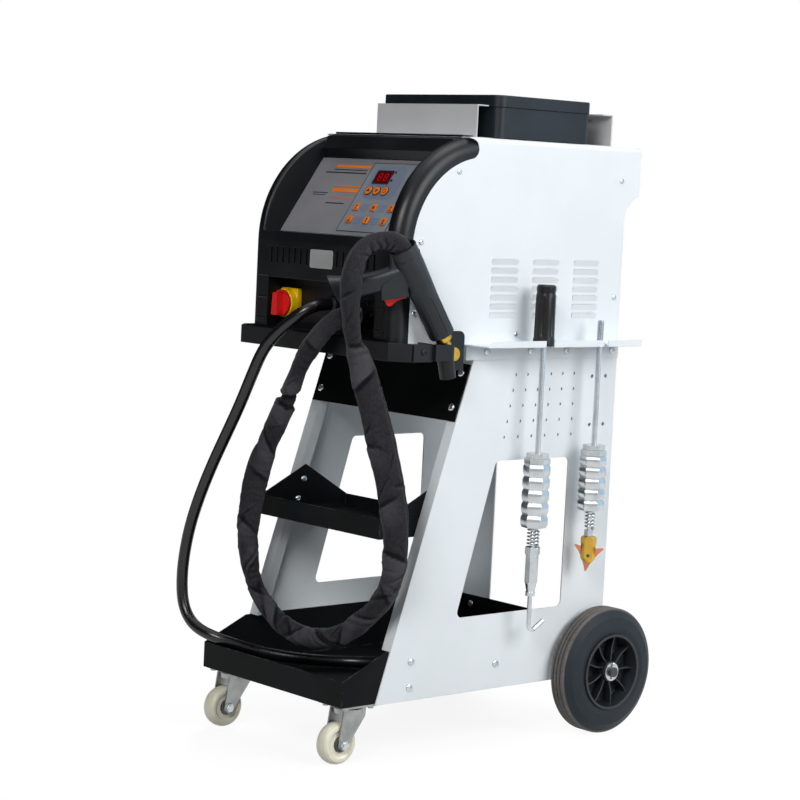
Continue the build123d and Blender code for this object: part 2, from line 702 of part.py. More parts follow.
def cover_hollow(gap):
    """Space under the cover, drawn in by a gap, open downwards."""
    half = PANEL_X - COVER_T - gap
    hollow = block(-half, half, -400, COVER_REAR_HIGH + 50.0, PANEL_TOP - 10, COVER_TOP - COVER_T - gap)
    top_edges = hollow.edges().filter_by(Axis.Y).group_by(Axis.Z)[-1]
    return fillet(top_edges, COVER_EDGE - COVER_T)


def machine_cover():
    """White wrap-over cover: two sides and a top, open at the front, rear and bottom."""
    shell = extrude(Plane.YZ.offset(-PANEL_X) * cover_outline(0.0), 2 * PANEL_X)
    long_edges = shell.edges().filter_by(Axis.Y).group_by(Axis.Z)[-1]
    shell = fillet(long_edges, COVER_EDGE)
    shell -= cover_hollow(0.0)
    shell -= extrude(Plane.YZ.offset(-PANEL_X - 1) * front_of_arc(), 2 * PANEL_X + 2)
    shell -= band_solid(-PANEL_X - 1, PANEL_X + 1)
    hoods = []
    holes = []
    for y in LOUVRE_Y:
        for row in range(LOUVRE_ROWS):
            place = Pos(PANEL_X, y, LOUVRE_Z - row * LOUVRE_PITCH)
            hoods.append(place * louvre_hood())
            holes.append(place * louvre_hole())
    hoods += [mirrored(piece) for piece in hoods]
    holes += [mirrored(piece) for piece in holes]
    return (shell + hoods) - holes


def louvre_hood():
    """Wedge that stands out of the cover's side, tallest at its upper edge."""
    outline = [(-COVER_T, -LOUVRE_TALL), (0, -LOUVRE_TALL), (LOUVRE_OUT, 0), (-COVER_T, 0)]
    face = make_face(Polyline(*outline, close=True))
    return extrude(Plane.XZ.offset(-LOUVRE_LENGTH / 2) * face, LOUVRE_LENGTH)


def louvre_hole():
    """Hollow of a hood, open at its top and into the cover."""
    length = LOUVRE_LENGTH - 2 * LOUVRE_WALL
    low = -LOUVRE_TALL + 2 * LOUVRE_WALL
    behind = -COVER_T - 1
    outline = [(behind, low), (-LOUVRE_WALL / 2, low), (LOUVRE_OUT - LOUVRE_WALL, 0), (behind, 0)]
    face = make_face(Polyline(*outline, close=True))
    return extrude(Plane.XZ.offset(-length / 2) * face, length)


def rear_panel():
    """Folded sheet that closes the back between the cover's sides, with a round fan opening."""
    half = PANEL_X - COVER_T - FIT_GAP
    outer = extrude(Plane.YZ.offset(-half) * cover_outline(0.0), 2 * half)
    inner = extrude(Plane.YZ.offset(-half - 1) * cover_outline(COVER_T), 2 * half + 2)
    sheet = outer - inner
    sheet = sheet & cover_hollow(FIT_GAP)
    sheet -= block(-half - 1, half + 1, -400, 100, PANEL_TOP - 1, COVER_TOP + 1)
    return sheet - rod_y(FAN_R, 200, 300, FAN_X, FAN_Z)


def fan_frame():
    """Square fan housing on the inside of the rear panel, with a motor on four arms."""
    back = COVER_REAR_LOW - COVER_T
    front = back - FAN_DEPTH
    half = FAN_SIZE / 2
    frame = block(FAN_X - half, FAN_X + half, front, back, FAN_Z - half, FAN_Z + half)
    frame -= rod_y(FAN_R, front - 1, back + 1, FAN_X, FAN_Z)
    arms = rod_y(16.0, back - 3.0, back, FAN_X, FAN_Z)
    arms += block(FAN_X - half + 2, FAN_X + half - 2, back - 3.0, back, FAN_Z - 2, FAN_Z + 2)
    arms += block(FAN_X - 2, FAN_X + 2, back - 3.0, back, FAN_Z - half + 2, FAN_Z + half - 2)
    return frame + arms + rod_y(3.0, front + 2, back - 3.0, FAN_X, FAN_Z)


def fan_rotor():
    back = COVER_REAR_LOW - COVER_T - 3.0 - FIT_GAP
    front = COVER_REAR_LOW - COVER_T - FAN_DEPTH + 3.0
    rotor = rod_y(15.0, front, back, FAN_X, FAN_Z)
    depth = back - front
    blade = Pos(0, 0, 32.0) * Rot(0, 0, 35.0) * Box(2.0, depth * 0.8, 42.0)
    for k in range(7):
        rotor += Pos(FAN_X, (front + back) / 2, FAN_Z) * Rot(0, k * 360 / 7, 0) * blade
    return rotor - rod_y(3.0 + RUNNING, front - 1, back + 1, FAN_X, FAN_Z)


def machine_base():
    """Base plate of the welder, turned up at the sides inside the cover."""
    half = PANEL_X - COVER_T - FIT_GAP
    front = RECESS_BACK + BEZEL_WALL + FIT_GAP
    rear = COVER_REAR_LOW - COVER_T - FIT_GAP
    plate = block(-half, half, front, rear, PANEL_TOP, PANEL_TOP + SHEET)
    for x0, x1 in ((-half, -half + SHEET), (half - SHEET, half)):
        plate += block(x0, x1, front, rear, PANEL_TOP, PANEL_TOP + 28.0)
    return plate


def panel_frame():
    """Plane of the slanted control panel: X across, Y up the slope, Z outwards."""
    dy = PANEL_HIGH[0] - PANEL_LOW[0]
    dz = PANEL_HIGH[1] - PANEL_LOW[1]
    middle = (0, (PANEL_LOW[0] + PANEL_HIGH[0]) / 2, (PANEL_LOW[1] + PANEL_HIGH[1]) / 2)
    return Plane(origin=middle, x_dir=(1, 0, 0), z_dir=(0, -dz, dy))


def panel_length():
    return math.hypot(PANEL_HIGH[0] - PANEL_LOW[0], PANEL_HIGH[1] - PANEL_LOW[1])


def control_panel():
    sheet = Pos(0, 0, -PANEL_T / 2) * Box(2 * RAIL_INNER - 2 * FIT_GAP, panel_length(), PANEL_T)
    return panel_frame() * sheet


def key_film():
    """Film over the keypad with nine raised keys: three round and six square."""
    film = Pos(42.0, 0, 0.3) * Box(110.0, panel_length() - 14.0, 0.6)
    for x in (10.0, 28.5, 47.0):
        film += Pos(x, 11.5, 0.6) * extrude(Circle(7.0), 1.4)
    for x in (5.0, 44.0, 83.0):
        for y in (-19.5, -43.0):
            film += Pos(x, y, 0.6) * extrude(RectangleRounded(12.0, 12.0, 1.5), 1.2)
    return panel_frame() * film


def display_window():
    """Dark red window of the digital display."""
    return panel_frame() * (Pos(25.0, 37.0, 0.6) * extrude(RectangleRounded(33.0, 21.0, 1.0), 1.0))


def front_bezel():
    """Black moulded front: two round rails, corner pillars, a slotted fascia and a recess."""
    front = ARC_Y - ARC_R
    bezel = rail() + mirrored(rail())
    pillar = block(RECESS_HALF, RAIL_INNER + 2, front, RECESS_BACK + BEZEL_WALL,
                   PANEL_TOP, RECESS_TOP + BEZEL_WALL)
    bezel += pillar + mirrored(pillar)
    low_y, low_z = PANEL_LOW
    high_y, high_z = PANEL_HIGH
    span = RAIL_INNER + 2
    shelf_y = ARC_Y - math.sqrt(ARC_R ** 2 - (low_z - ARC_Z) ** 2)
    fascia = [(front, RECESS_TOP), (front + BEZEL_WALL, RECESS_TOP),
              (front + BEZEL_WALL, low_z - BEZEL_WALL), (low_y, low_z - BEZEL_WALL - 1.0),
              (low_y, low_z - 0.5), (shelf_y, low_z), (front, ARC_Z)]
    bezel += prism_x(fascia, -span, span)
    for k in range(SLOTS):
        x = (k - (SLOTS - 1) / 2) * SLOT_PITCH
        if abs(x) > BADGE_HALF + 2:
            bezel -= block(x - SLOT_WIDTH / 2, x + SLOT_WIDTH / 2, front - 1, front + BEZEL_WALL + 1,
                           SLOT_TOP - SLOT_HEIGHT, SLOT_TOP)
    end_y = RAIL_END - RAIL_DEPTH / 2
    hood = [(end_y, COVER_TOP - 0.5), (end_y - 16.0, COVER_TOP - 4.0), (high_y - 5.0, high_z + 15.0),
            (high_y, high_z + 0.8), (end_y, high_z + 8.0)]
    bezel += prism_x(hood, -span, span)
    bezel += block(-span, span, RECESS_BACK, RECESS_BACK + BEZEL_WALL, PANEL_TOP, RECESS_TOP + BEZEL_WALL)
    bezel += block(-span, span, front, RECESS_BACK + 1, RECESS_TOP, RECESS_TOP + BEZEL_WALL)
    bezel += block(-span, span, front, RECESS_BACK + 1, PANEL_TOP, RECESS_FLOOR)
    cheek = prism_x(cheek_outline(), RAIL_INNER, RAIL_INNER + BEZEL_WALL)
    bezel += cheek + mirrored(cheek)
    ledge = Pos(0, 0, -PANEL_T - 2.0) * (Box(2 * span, panel_length() - 4, 4.0)
                                         - Box(2 * RAIL_INNER - 16.0, panel_length() - 20, 5.0))
    bezel += panel_frame() * ledge
    for x, z, r in ((EARTH_X, EARTH_Z, EARTH_D / 2 + 2.0), (TORCH_X, TORCH_Z, 12.0)):
        bezel -= rod_y(r, RECESS_BACK - 1, RECESS_BACK + BEZEL_WALL + 1, x, z)
    return bezel


def rail():
    """Round-cornered rail: up the front, over the shoulder and a half-round end."""
    front = ARC_Y - ARC_R
    middle_r = ARC_R - RAIL_DEPTH / 2
    x = (RAIL_INNER + PANEL_X) / 2
    section = make_face(Polyline(
        (RAIL_INNER, front), (PANEL_X, front), (PANEL_X, front + RAIL_DEPTH),
        (RAIL_INNER, front + RAIL_DEPTH), close=True))
    corner = section.vertices().sort_by_distance((PANEL_X, front))[0]
    section = fillet(corner, RAIL_ROUND)
    corner = section.vertices().sort_by_distance((RAIL_INNER, front))[0]
    section = fillet(corner, RAIL_INNER_ROUND)
    lean = rail_lean()
    foot = (x, ARC_Y - middle_r, PANEL_TOP)
    spring_line = (x, ARC_Y - middle_r, ARC_Z)
    half_way = (x, ARC_Y - middle_r * math.cos(lean / 2), ARC_Z + middle_r * math.sin(lean / 2))
    top = (x, ARC_Y - middle_r * math.cos(lean), ARC_Z + middle_r * math.sin(lean))
    bend = ThreePointArc(spring_line, half_way, top)
    tail = Line(bend @ 1, (bend @ 1) + (bend % 1) * RAIL_DEPTH)
    swept = sweep(Plane.XY.offset(PANEL_TOP) * section, path=Wire([Line(foot, spring_line), bend, tail]))
    end = Plane(origin=top, x_dir=(1, 0, 0), z_dir=bend % 1)
    beyond = end * (Pos(0, 0, RAIL_DEPTH) * Box(60.0, 60.0, 2 * RAIL_DEPTH))
    return swept - (beyond - rod_x(RAIL_DEPTH / 2, x - 40, x + 40, top[1], top[2]))


def rail_lean():
    """Angle of the shoulder's arc at the middle of the rail's round end."""
    half = RAIL_DEPTH / 2
    return math.acos((ARC_Y - RAIL_END + half) / (ARC_R - half))


def cheek_outline():
    """Wall between a rail and the edge of the control panel that lies deeper than the rail."""
    slope = math.atan2(PANEL_HIGH[1] - PANEL_LOW[1], PANEL_HIGH[0] - PANEL_LOW[0])
    behind = PANEL_T + 4.0
    back = (behind * math.sin(slope), -behind * math.cos(slope))
    outline = [(y + back[0], z + back[1]) for y, z in (PANEL_HIGH, PANEL_LOW)]
    inner_r = ARC_R - RAIL_DEPTH / 2
    for angle in range(4, 68, 9):
        turn = math.radians(angle)
        outline.append((ARC_Y - inner_r * math.cos(turn), ARC_Z + inner_r * math.sin(turn)))
    return outline


def front_ledge():
    """Shallow plastic tray round the foot of the bezel, with cut-off front corners."""
    rim = prism_z(rim_outline(0.0), LEDGE_BOTTOM, LEDGE_TOP)
    rim -= prism_z(rim_outline(LEDGE_WALL), LEDGE_BOTTOM + LEDGE_WALL, LEDGE_TOP + 1)
    floor = LEDGE_BOTTOM + LEDGE_WALL
    rim -= block(-PANEL_X - 1, PANEL_X + 1, LEDGE_SIDE_END - LEDGE_WALL - 1, 0, floor, LEDGE_TOP + 1)
    seat = block(-PANEL_X + 4, PANEL_X - 4, LEDGE_SIDE_END - 1, LEDGE_BACK, LEDGE_BOTTOM, floor)
    pads = block(-100, -80, -180, LEDGE_BACK, floor, PANEL_TOP)
    return rim + seat + pads + mirrored(pads)


def rim_outline(inset):
    half = LEDGE_HALF - inset
    corner = LEDGE_CHAMFER - inset * 0.41
    front = LEDGE_FRONT + inset
    back = LEDGE_SIDE_END - inset
    return [(-half + corner, front), (half - corner, front), (half, front + corner), (half, back),
            (-half, back), (-half, front + corner)]


def switch_base():
    """Yellow base on the recess wall."""
    wide = SWITCH_WIDE / 2
    tall = SWITCH_TALL / 2
    base = block(SWITCH_X - wide, SWITCH_X + wide, RECESS_BACK - SWITCH_DEPTH, RECESS_BACK,
                 SWITCH_Z - tall, SWITCH_Z + tall)
    base = fillet(base.edges().filter_by(Axis.Y), 4.0)
    return base - rod_y(KNOB_SHAFT_R + RUNNING, -400, RECESS_BACK + 1, SWITCH_X, SWITCH_Z)


def switch_knob():
    """Red knob: a dished disc, a bar that widens downwards across it and a shaft into the base."""
    back = RECESS_BACK - SWITCH_DEPTH - FIT_GAP
    front = back - KNOB_T
    knob = rod_y(KNOB_R, front, back, SWITCH_X, SWITCH_Z)
    knob -= rod_y(KNOB_R - 2.4, front - 1, front + KNOB_DISH, SWITCH_X, SWITCH_Z)
    bar = make_face(Polyline((-5.0, 16.0), (5.0, 16.0), (7.5, -18.5), (-7.5, -18.5), close=True))
    bar = fillet(bar.vertices(), 2.0)
    bar = extrude(Plane.XZ.offset(-front - KNOB_DISH) * bar, BAR_OUT + KNOB_DISH)
    knob += Pos(SWITCH_X, 0, SWITCH_Z) * bar
    return knob + rod_y(KNOB_SHAFT_R, back - 1, RECESS_BACK, SWITCH_X, SWITCH_Z)


def cable_glands():
    """Earth cable gland and torch outlet: a hexagon and a dome through the recess wall."""
    pieces = []
    for x, z, r, cable in ((EARTH_X, EARTH_Z, EARTH_D / 2 + 5.0, EARTH_D / 2),
                           (TORCH_X, TORCH_Z, SLEEVE_D / 2 + 4.0, SLEEVE_D / 2)):
        hexagon = Plane.XZ.offset(-RECESS_BACK) * Pos(x, z) * RegularPolygon(r + 2.0, 6)
        gland = extrude(hexagon, 10.0)
        gland += rod_y(r, GLAND_FRONT + 6.0, RECESS_BACK - 9.0, x, z)
        dome = spin([(0, 0), (r, 0), (r - 1.0, 4.0), (cable + 0.5, 6.0), (0, 6.0)])
        gland += Pos(x, GLAND_FRONT + 6.0, z) * Rot(90, 0, 0) * dome
        stem = min(r - 3.0, 11.5)
        pieces.append(gland + rod_y(stem, RECESS_BACK - 1, RECESS_BACK + BEZEL_WALL + 4.0, x, z))
    return Compound(children=pieces)


# Gun: made about its own barrel, nose at the origin, tail up, grip along +X

def gun_frame():
    nose = Vector(*GUN_NOSE)
    tail = Vector(*GUN_TAIL)
    up = (tail - nose).normalized()
    out = Vector(*GUN_GRIP_END) - nose
    out = (out - up * out.dot(up)).normalized()
    return Plane(origin=nose, x_dir=out, z_dir=up)


def gun_length():
    return (Vector(*GUN_TAIL) - Vector(*GUN_NOSE)).length


def gun_reach():
    return (Vector(*GUN_GRIP_END) - Vector(*GUN_NOSE)).dot(gun_frame().x_dir)


def grip_section(x, half_wide, half_tall, z):
    face = Plane(origin=(x, 0, z), x_dir=(0, 1, 0), z_dir=(1, 0, 0))
    return face * RectangleRounded(2 * half_wide, 2 * half_tall, half_wide * 0.85)


def gun_body():
    """Moulded pistol: tapered barrel, grip with a flared butt and a trigger housing."""
    length = gun_length()
    reach = gun_reach()
    body = spin([(0, 0), (BARREL_R_NOSE, 0), (BARREL_R_NOSE, length * 0.4), (BARREL_R_TAIL, length * 0.75),
                 (BARREL_R_TAIL, length - 1.0), (BARREL_R_TAIL - 1.0, length), (0, length)])
    for k in range(8):
        groove = Pos(BARREL_R_NOSE, 0, length * 0.24) * Box(1.6, 2.6, length * 0.4)
        body -= Rot(0, 0, 22.5 + k * 45.0) * groove
    level = GRIP_LEVEL
    rise = (Vector(*GUN_GRIP_END) - Vector(*GUN_NOSE)).dot(gun_frame().z_dir) - level
    sections = [
        grip_section(6.0, GRIP_HALF_WIDE + 2.0, GRIP_HALF_TALL + 6.0, level),
        grip_section(30.0, GRIP_HALF_WIDE, GRIP_HALF_TALL, level + rise * 0.2),
        grip_section(reach * 0.7, GRIP_HALF_WIDE, GRIP_HALF_TALL - 1.0, level + rise * 0.6),
        grip_section(reach, GRIP_HALF_WIDE + 3.0, GRIP_HALF_TALL + GRIP_FLARE, level + rise),
    ]
    body += loft(sections)
    housing = [(12.0, level + 14.0), (50.0, level + 8.0), (58.0, level - 12.0), (20.0, level - 25.0)]
    housing_face = make_face(Polyline(*housing, close=True))
    housing_face = fillet(housing_face.vertices().sort_by(Axis.Y)[-2:], 5.0)
    side = GRIP_HALF_WIDE + HOUSING_PROUD
    body += extrude(Plane.XZ.offset(-side) * housing_face, 2 * side)
    foot = level + GRIP_HALF_TALL
    web = [
        Line((10.0, foot - 10.0), (10.0, level + WEB_TOP)),
        Line((10.0, level + WEB_TOP), (BARREL_R_TAIL - 1.0, level + WEB_TOP)),
        ThreePointArc((BARREL_R_TAIL - 1.0, level + WEB_TOP), (27.0, foot + 8.0), (WEB_END, foot - 1.0)),
        Line((WEB_END, foot - 1.0), (WEB_END, foot - 10.0)),
        Line((WEB_END, foot - 10.0), (10.0, foot - 10.0)),
    ]
    half_web = GRIP_HALF_WIDE * 0.6
    body += extrude(Plane.XZ.offset(-half_web) * make_face(web), 2 * half_web)
    pocket = TRIGGER_X1 - TRIGGER_X0 + 2 * FIT_GAP
    deep = 40.0
    room = Box(pocket, TRIGGER_WIDE + 2 * FIT_GAP, deep)
    body -= Pos((TRIGGER_X0 + TRIGGER_X1) / 2, 0, pocket_top() - deep / 2) * room
    body -= rod_z(TAIL_CUP_R, length - TAIL_CUP_DEEP, length + 1, 0, 0)
    return gun_frame() * body


def pocket_top():
    return GRIP_LEVEL - 3.0


def gun_trigger():
    """Red trigger: a curved lever that slides up into the housing."""
    level = GRIP_LEVEL
    top = pocket_top() - FIT_GAP - TRIGGER_TRAVEL
    near = (TRIGGER_X0, level - 29.0)
    far = (TRIGGER_X1 - 6.5, level - 30.0)
    corner = (TRIGGER_X1, level - 23.5)
    edges = [
        Line((TRIGGER_X0, top), (TRIGGER_X1, top)),
        Line((TRIGGER_X1, top), corner),
        ThreePointArc(corner, (TRIGGER_X1 - 1.8, level - 28.3), far),
        ThreePointArc(far, ((TRIGGER_X0 + TRIGGER_X1) / 2, level - 27.0), near),
        Line(near, (TRIGGER_X0, top)),
    ]
    lever = extrude(Plane.XZ.offset(-TRIGGER_WIDE / 2) * make_face(edges), TRIGGER_WIDE)
    return gun_frame() * lever


def gun_nozzle():
    """Brass collet that stands out of the nose into the holder's ring."""
    foot = -NOZZLE_COLLAR
    neck_r = NOZZLE_R + 1.5
    collet = spin([
        (0, 0), (NOZZLE_COLLAR_R, 0), (NOZZLE_COLLAR_R, foot), (neck_r, foot), (neck_r, foot - 2.0),
        (NOZZLE_R, foot - 3.5), (NOZZLE_R, 4.0 - NOZZLE_LENGTH), (NOZZLE_R - 2.5, -NOZZLE_LENGTH),
        (0, -NOZZLE_LENGTH)])
    return gun_frame() * collet


def gun_holder():
    """Black holder on the ledge's right side: flange, arm with a ring, leaning cup and back plate."""
    low = LEDGE_BOTTOM + 2.0
    high = LEDGE_TOP - 1.0
    holder = block(LEDGE_HALF, LEDGE_HALF + 3.0, LEDGE_FRONT + LEDGE_CHAMFER + 1.0, LEDGE_SIDE_END + 1.0,
                   LEDGE_BOTTOM + 1.0, high)
    holder += block(HOLDER_X - 3.0, HOLDER_X + HOLDER_R, LEDGE_SIDE_END + 0.5, HOLDER_Y, low, high)
    holder += rod_z(HOLDER_R, low, high, HOLDER_X, HOLDER_Y)
    lean = Plane(origin=(HOLDER_X, HOLDER_Y, low + 6.0), x_dir=(1, 0, 0), z_dir=(0, 0.26, -1))
    holder += lean * spin([(0, 0), (HOLDER_CUP_R, 0), (HOLDER_CUP_R - 0.5, HOLDER_CUP), (0, HOLDER_CUP)])
    plate = block(HOLDER_X - 3.0, HOLDER_X + 1.0, HOLDER_Y + 5.0, HOLDER_Y + 37.0,
                  LEDGE_BOTTOM - 13.0, HOLDER_PLATE_TOP)
    holder += fillet(plate.edges().filter_by(Axis.X).group_by(Axis.Z)[-1], 10.0)
    holder -= rod_z(HOLDER_BORE_R, low + 4.0, high + 1, HOLDER_X, HOLDER_Y)
    well = HOLDER_CUP_R - 3.0
    holder -= lean * spin([(0, 0), (well, 0), (well, HOLDER_CUP - 3.0), (0, HOLDER_CUP - 3.0)])
    foot = -NOZZLE_COLLAR
    clearances = [(BARREL_R_NOSE + 1.0, 0.0, 46.0), (NOZZLE_COLLAR_R + FIT_GAP, foot - FIT_GAP / 2, 1.0),
                  (NOZZLE_R + 2.0, foot - 4.0, 0.0), (NOZZLE_R + 0.7, -NOZZLE_LENGTH - 2.0, 0.0)]
    for r, z0, z1 in clearances:
        holder -= gun_frame() * rod_z(r, z0, z1, 0, 0)
    return holder


# Cords

EARTH_ROUTE = [
    (14, -232, 667), (14, -250, 667), (13, -265, 663), (6, -277, 655), (-6, -285, 644), (-21, -290.5, 631),
    (-41, -296, 612), (-58, -300, 590), (-77, -303, 551), (-100, -304, 507), (-128, -305.5, 460),
    (-159, -308, 407), (-186, -311, 351), (-205, -313, 300), (-214, -315.5, 245), (-213, -316, 203),
    (-205, -315.5, 176), (-188, -313.5, 157), (-166, -310, 147), (-143, -300, 140), (-125, -278, 131),
    (-107, -250, 121), (-90, -218, 113), (-75, -181, 107), (-60, -146, 103), (-40, -117, 102.3),
    (-10, -95, 104), (28, -77, 111), (66, -54, 119), (104, -29, 120.5), (136, -4, 120), (150, 20, 120),
    (150, 42, 120),
]

SLEEVE_ROUTE = [
    (197.85, -248.6, 752.2), (198.14, -261.5, 770.8), (186, -281, 771.5), (178.5, -302, 766),
    (177, -319, 750), (179, -329, 731), (179.5, -332.5, 708), (176.5, -329.5, 680), (171, -321, 652),
    (167, -312, 627),
    (169, -303, 604), (174.5, -296, 578), (181, -290, 550), (188, -283, 518), (195, -277, 485),
    (203, -271.5, 453), (209.5, -266, 420), (214, -261, 387), (215, -255, 352), (209.5, -249, 316),
    (198.5, -244, 282), (180, -241, 252), (154, -240, 225), (127, -241, 203), (98, -243.5, 184),
    (66, -246, 170), (32, -250, 165), (-1, -255, 166), (-30, -260, 176), (-56, -265, 193),
    (-78, -268, 214), (-95, -270, 239), (-105, -271, 268), (-109.5, -271, 300), (-108, -271, 333),
    (-103, -270.5, 365), (-95, -270, 396), (-84, -270, 425), (-70, -270.5, 451), (-54, -271, 476),
    (-39, -272, 503), (-22, -273, 528), (-8, -274, 554), (7, -275, 580), (25, -276, 603),
    (46, -276.5, 623), (64, -272, 641), (70, -253, 655), (70, -232, 655),
]


def cord_tube(points, diameter, name):
    path, radii = cord_path(points)
    tube = swept_tube(path, diameter / 2)
    ideal = math.pi * diameter ** 2 / 4 * path.length
    print(name, "length", round(path.length, 1), "tightest", round(min(radii), 1),
          "volume share", round(tube.volume / ideal, 4))
    return tube


def coil_point(turn):
    """Place and direction on the coil: in on the top layer, down in a half turn, out on the lower one."""
    turning = 1.0
    if turn < turning:
        r = COIL_R - COIL_STEP * turn
        rate = -COIL_STEP
    else:
        r = COIL_R - COIL_STEP * turning + COIL_STEP * (turn - turning)
        rate = COIL_STEP
    drop = min(max((turn - 0.75) / 0.5, 0.0), 1.0)
    z = COIL_LOW_Z + COIL_LAYER * (0.5 + 0.5 * math.cos(math.pi * drop))
    fall = 0.0
    if 0.0 < drop < 1.0:
        fall = -COIL_LAYER * 0.5 * math.pi / 0.5 * math.sin(math.pi * drop)
    if abs(turn - turning) < 1e-9 or abs(turn) < 1e-9 or abs(turn - COIL_QUARTERS / 4) < 1e-9:
        rate = 0.0
    angle = 2 * math.pi * turn
    c = math.cos(angle)
    s = math.sin(angle)
    place = Vector(COIL_X + r * c, COIL_Y + r * s, z)
    heading = Vector(rate * c - 2 * math.pi * r * s, rate * s + 2 * math.pi * r * c, fall)
    return place, heading.normalized()


def arcs_through(places):
    edges = []
    for (p0, t0), (p1, t1) in zip(places, places[1:]):
        edges += biarc(p0, t0, p1, t1)
    return edges


def least_gap(path, diameter, samples, apart):
    """Least distance between the tube's own turns, measured on points along its line."""
    points = [path @ (k / samples) for k in range(samples + 1)]
    step = path.length / samples
    skip = int(apart / step) + 1
    least = 1e9
    for i in range(len(points)):
        for j in range(i + skip, len(points)):
            least = min(least, (points[i] - points[j]).length)
    return least - diameter


def earth_coil():
    """The rest of the earth cable, wound in the tray in two layers."""
    places = [coil_point(k / 4) for k in range(COIL_QUARTERS + 1)]
    start, heading = places[0]
    finish, leaving = places[-1]
    edges = [Line(start - heading * EARTH_D, start)] + arcs_through(places)
    edges.append(Line(finish, finish + leaving * COIL_TAIL))
    path = Wire(edges)
    print("earth_coil length", round(path.length, 1), "least gap",
          round(least_gap(path, EARTH_D, 260, 200.0), 2))
    return swept_tube(path, EARTH_D / 2)


def spring(x, y, r, z0, z1):
    """Open coil spring round a rod, with straight tangent ends."""
    wire_r = SPRING_WIRE / 2
    low = z0 + wire_r + 0.15
    high = z1 - wire_r - 0.4
    pitch = (high - low) / SPRING_TURNS
    places = []
    for k in range(2 * SPRING_TURNS + 1):
        angle = math.pi * k
        c = math.cos(angle)
        s = math.sin(angle)
        place = Vector(x + r * c, y + r * s, low + pitch * k / 2)
        rise = pitch / (2 * math.pi)
        heading = Vector(-r * s, r * c, rise)
        places.append((place, heading.normalized()))
    path = Wire(arcs_through(places))
    print("spring length", round(path.length, 1), "least gap",
          round(least_gap(path, SPRING_WIRE, 200, 30.0), 2))
    return swept_tube(path, wire_r)


# Earth clamp at the end of the coil, on the tray's floor

def clamp_place(lift):
    """Clamp's own frame: X away from the cable, Y towards the coil, Z up from the tray's floor."""
    finish, leaving = coil_point(COIL_QUARTERS / 4)
    end = finish + leaving * COIL_TAIL
    floor = TRAY_BOTTOM + SHEET + lift
    return Plane(origin=(end.X, end.Y + CLAMP_CABLE_OFFSET, floor), x_dir=(-1, 0, 0), z_dir=(0, 0, 1))


def earth_clamp():
    """Fixed arm with the cable socket and the pivot pin."""
    arm = prism_z([(0, 3), (0, 25), (30, 25), (54, 14), (132, 9), (138, 4), (138, 0.4), (116, 0.4), (76, 5),
                   (62, 4), (40, 5)], 0, CLAMP_TALL)
    pin = CLAMP_PIVOT
    arm += prism_z([(pin - 7, 8), (pin - 5, -4), (pin + 5, -4), (pin + 7, 8)], 0, 6.0)
    arm -= rod_z(7.6, 6.0, 15.0, pin, 0)
    return clamp_place(0.0) * (arm + rod_z(CLAMP_PIN_R, 0, CLAMP_TALL - 1, pin, 0))


def clamp_jaw():
    """Moving arm with an ear round the pivot pin."""
    arm = prism_z([(4, -16), (4, -25), (54, -14), (132, -9), (138, -4), (138, -0.4), (116, -0.4), (76, -5),
                   (62, -4.5), (40, -9)], 0, CLAMP_TALL - FIT_GAP)
    pin = CLAMP_PIVOT
    arm -= prism_z([(pin - 14, 4), (pin - 14, -7), (pin + 14, -7), (pin + 14, 4)], -1, 6.4)
    arm += prism_z([(pin - 7, -8), (pin - 5, 3.7), (pin + 5, 3.7), (pin + 7, -8)], 6.4, 14.0)
    arm -= rod_z(CLAMP_PIN_R + RUNNING, -1, CLAMP_TALL + 1, pin, 0)
    return clamp_place(FIT_GAP) * arm


# Tool box on the welder's top

def toolbox_bracket():
    """Grey folded sheet: a floor, a front and a rear plate with lips turned inwards."""
    floor = COVER_TOP
    bracket = block(-BRACKET_HALF, BRACKET_HALF, BRACKET_FRONT, BRACKET_REAR, floor, floor + BRACKET_T)
    half = BRACKET_HALF
    for edge, way in ((BRACKET_FRONT, 1), (BRACKET_REAR, -1)):
        plate = sorted((edge, edge + way * BRACKET_T))
        lip = sorted((edge, edge + way * BRACKET_LIP))
        bracket += block(-half, half, plate[0], plate[1], floor, BRACKET_TOP)
        bracket += block(-half, half, lip[0], lip[1], BRACKET_TOP - BRACKET_T, BRACKET_TOP)
    return bracket


def toolbox_body():
    """Black plastic box, open at the top, with two hinge ears and a pin at the rear."""
    low = COVER_TOP + BRACKET_T
    box = rounded_box(0.0, low, BOX_LID_LINE - FIT_GAP)
    box -= rounded_box(BOX_WALL, low + BOX_WALL, BOX_LID_LINE + 5)
    for x in (-70.0, 70.0):
        for dx in (-12.0, 12.0):
            box += block(x + dx - 2.0, x + dx + 2.0, BOX_REAR - 1.0, BOX_REAR + HINGE_OUT + 1.8,
                         BOX_LID_LINE - 10.0, BOX_LID_LINE + 2.4)
        box += rod_x(1.2, x - 13.0, x + 13.0, BOX_REAR + HINGE_OUT, BOX_LID_LINE)
    return box


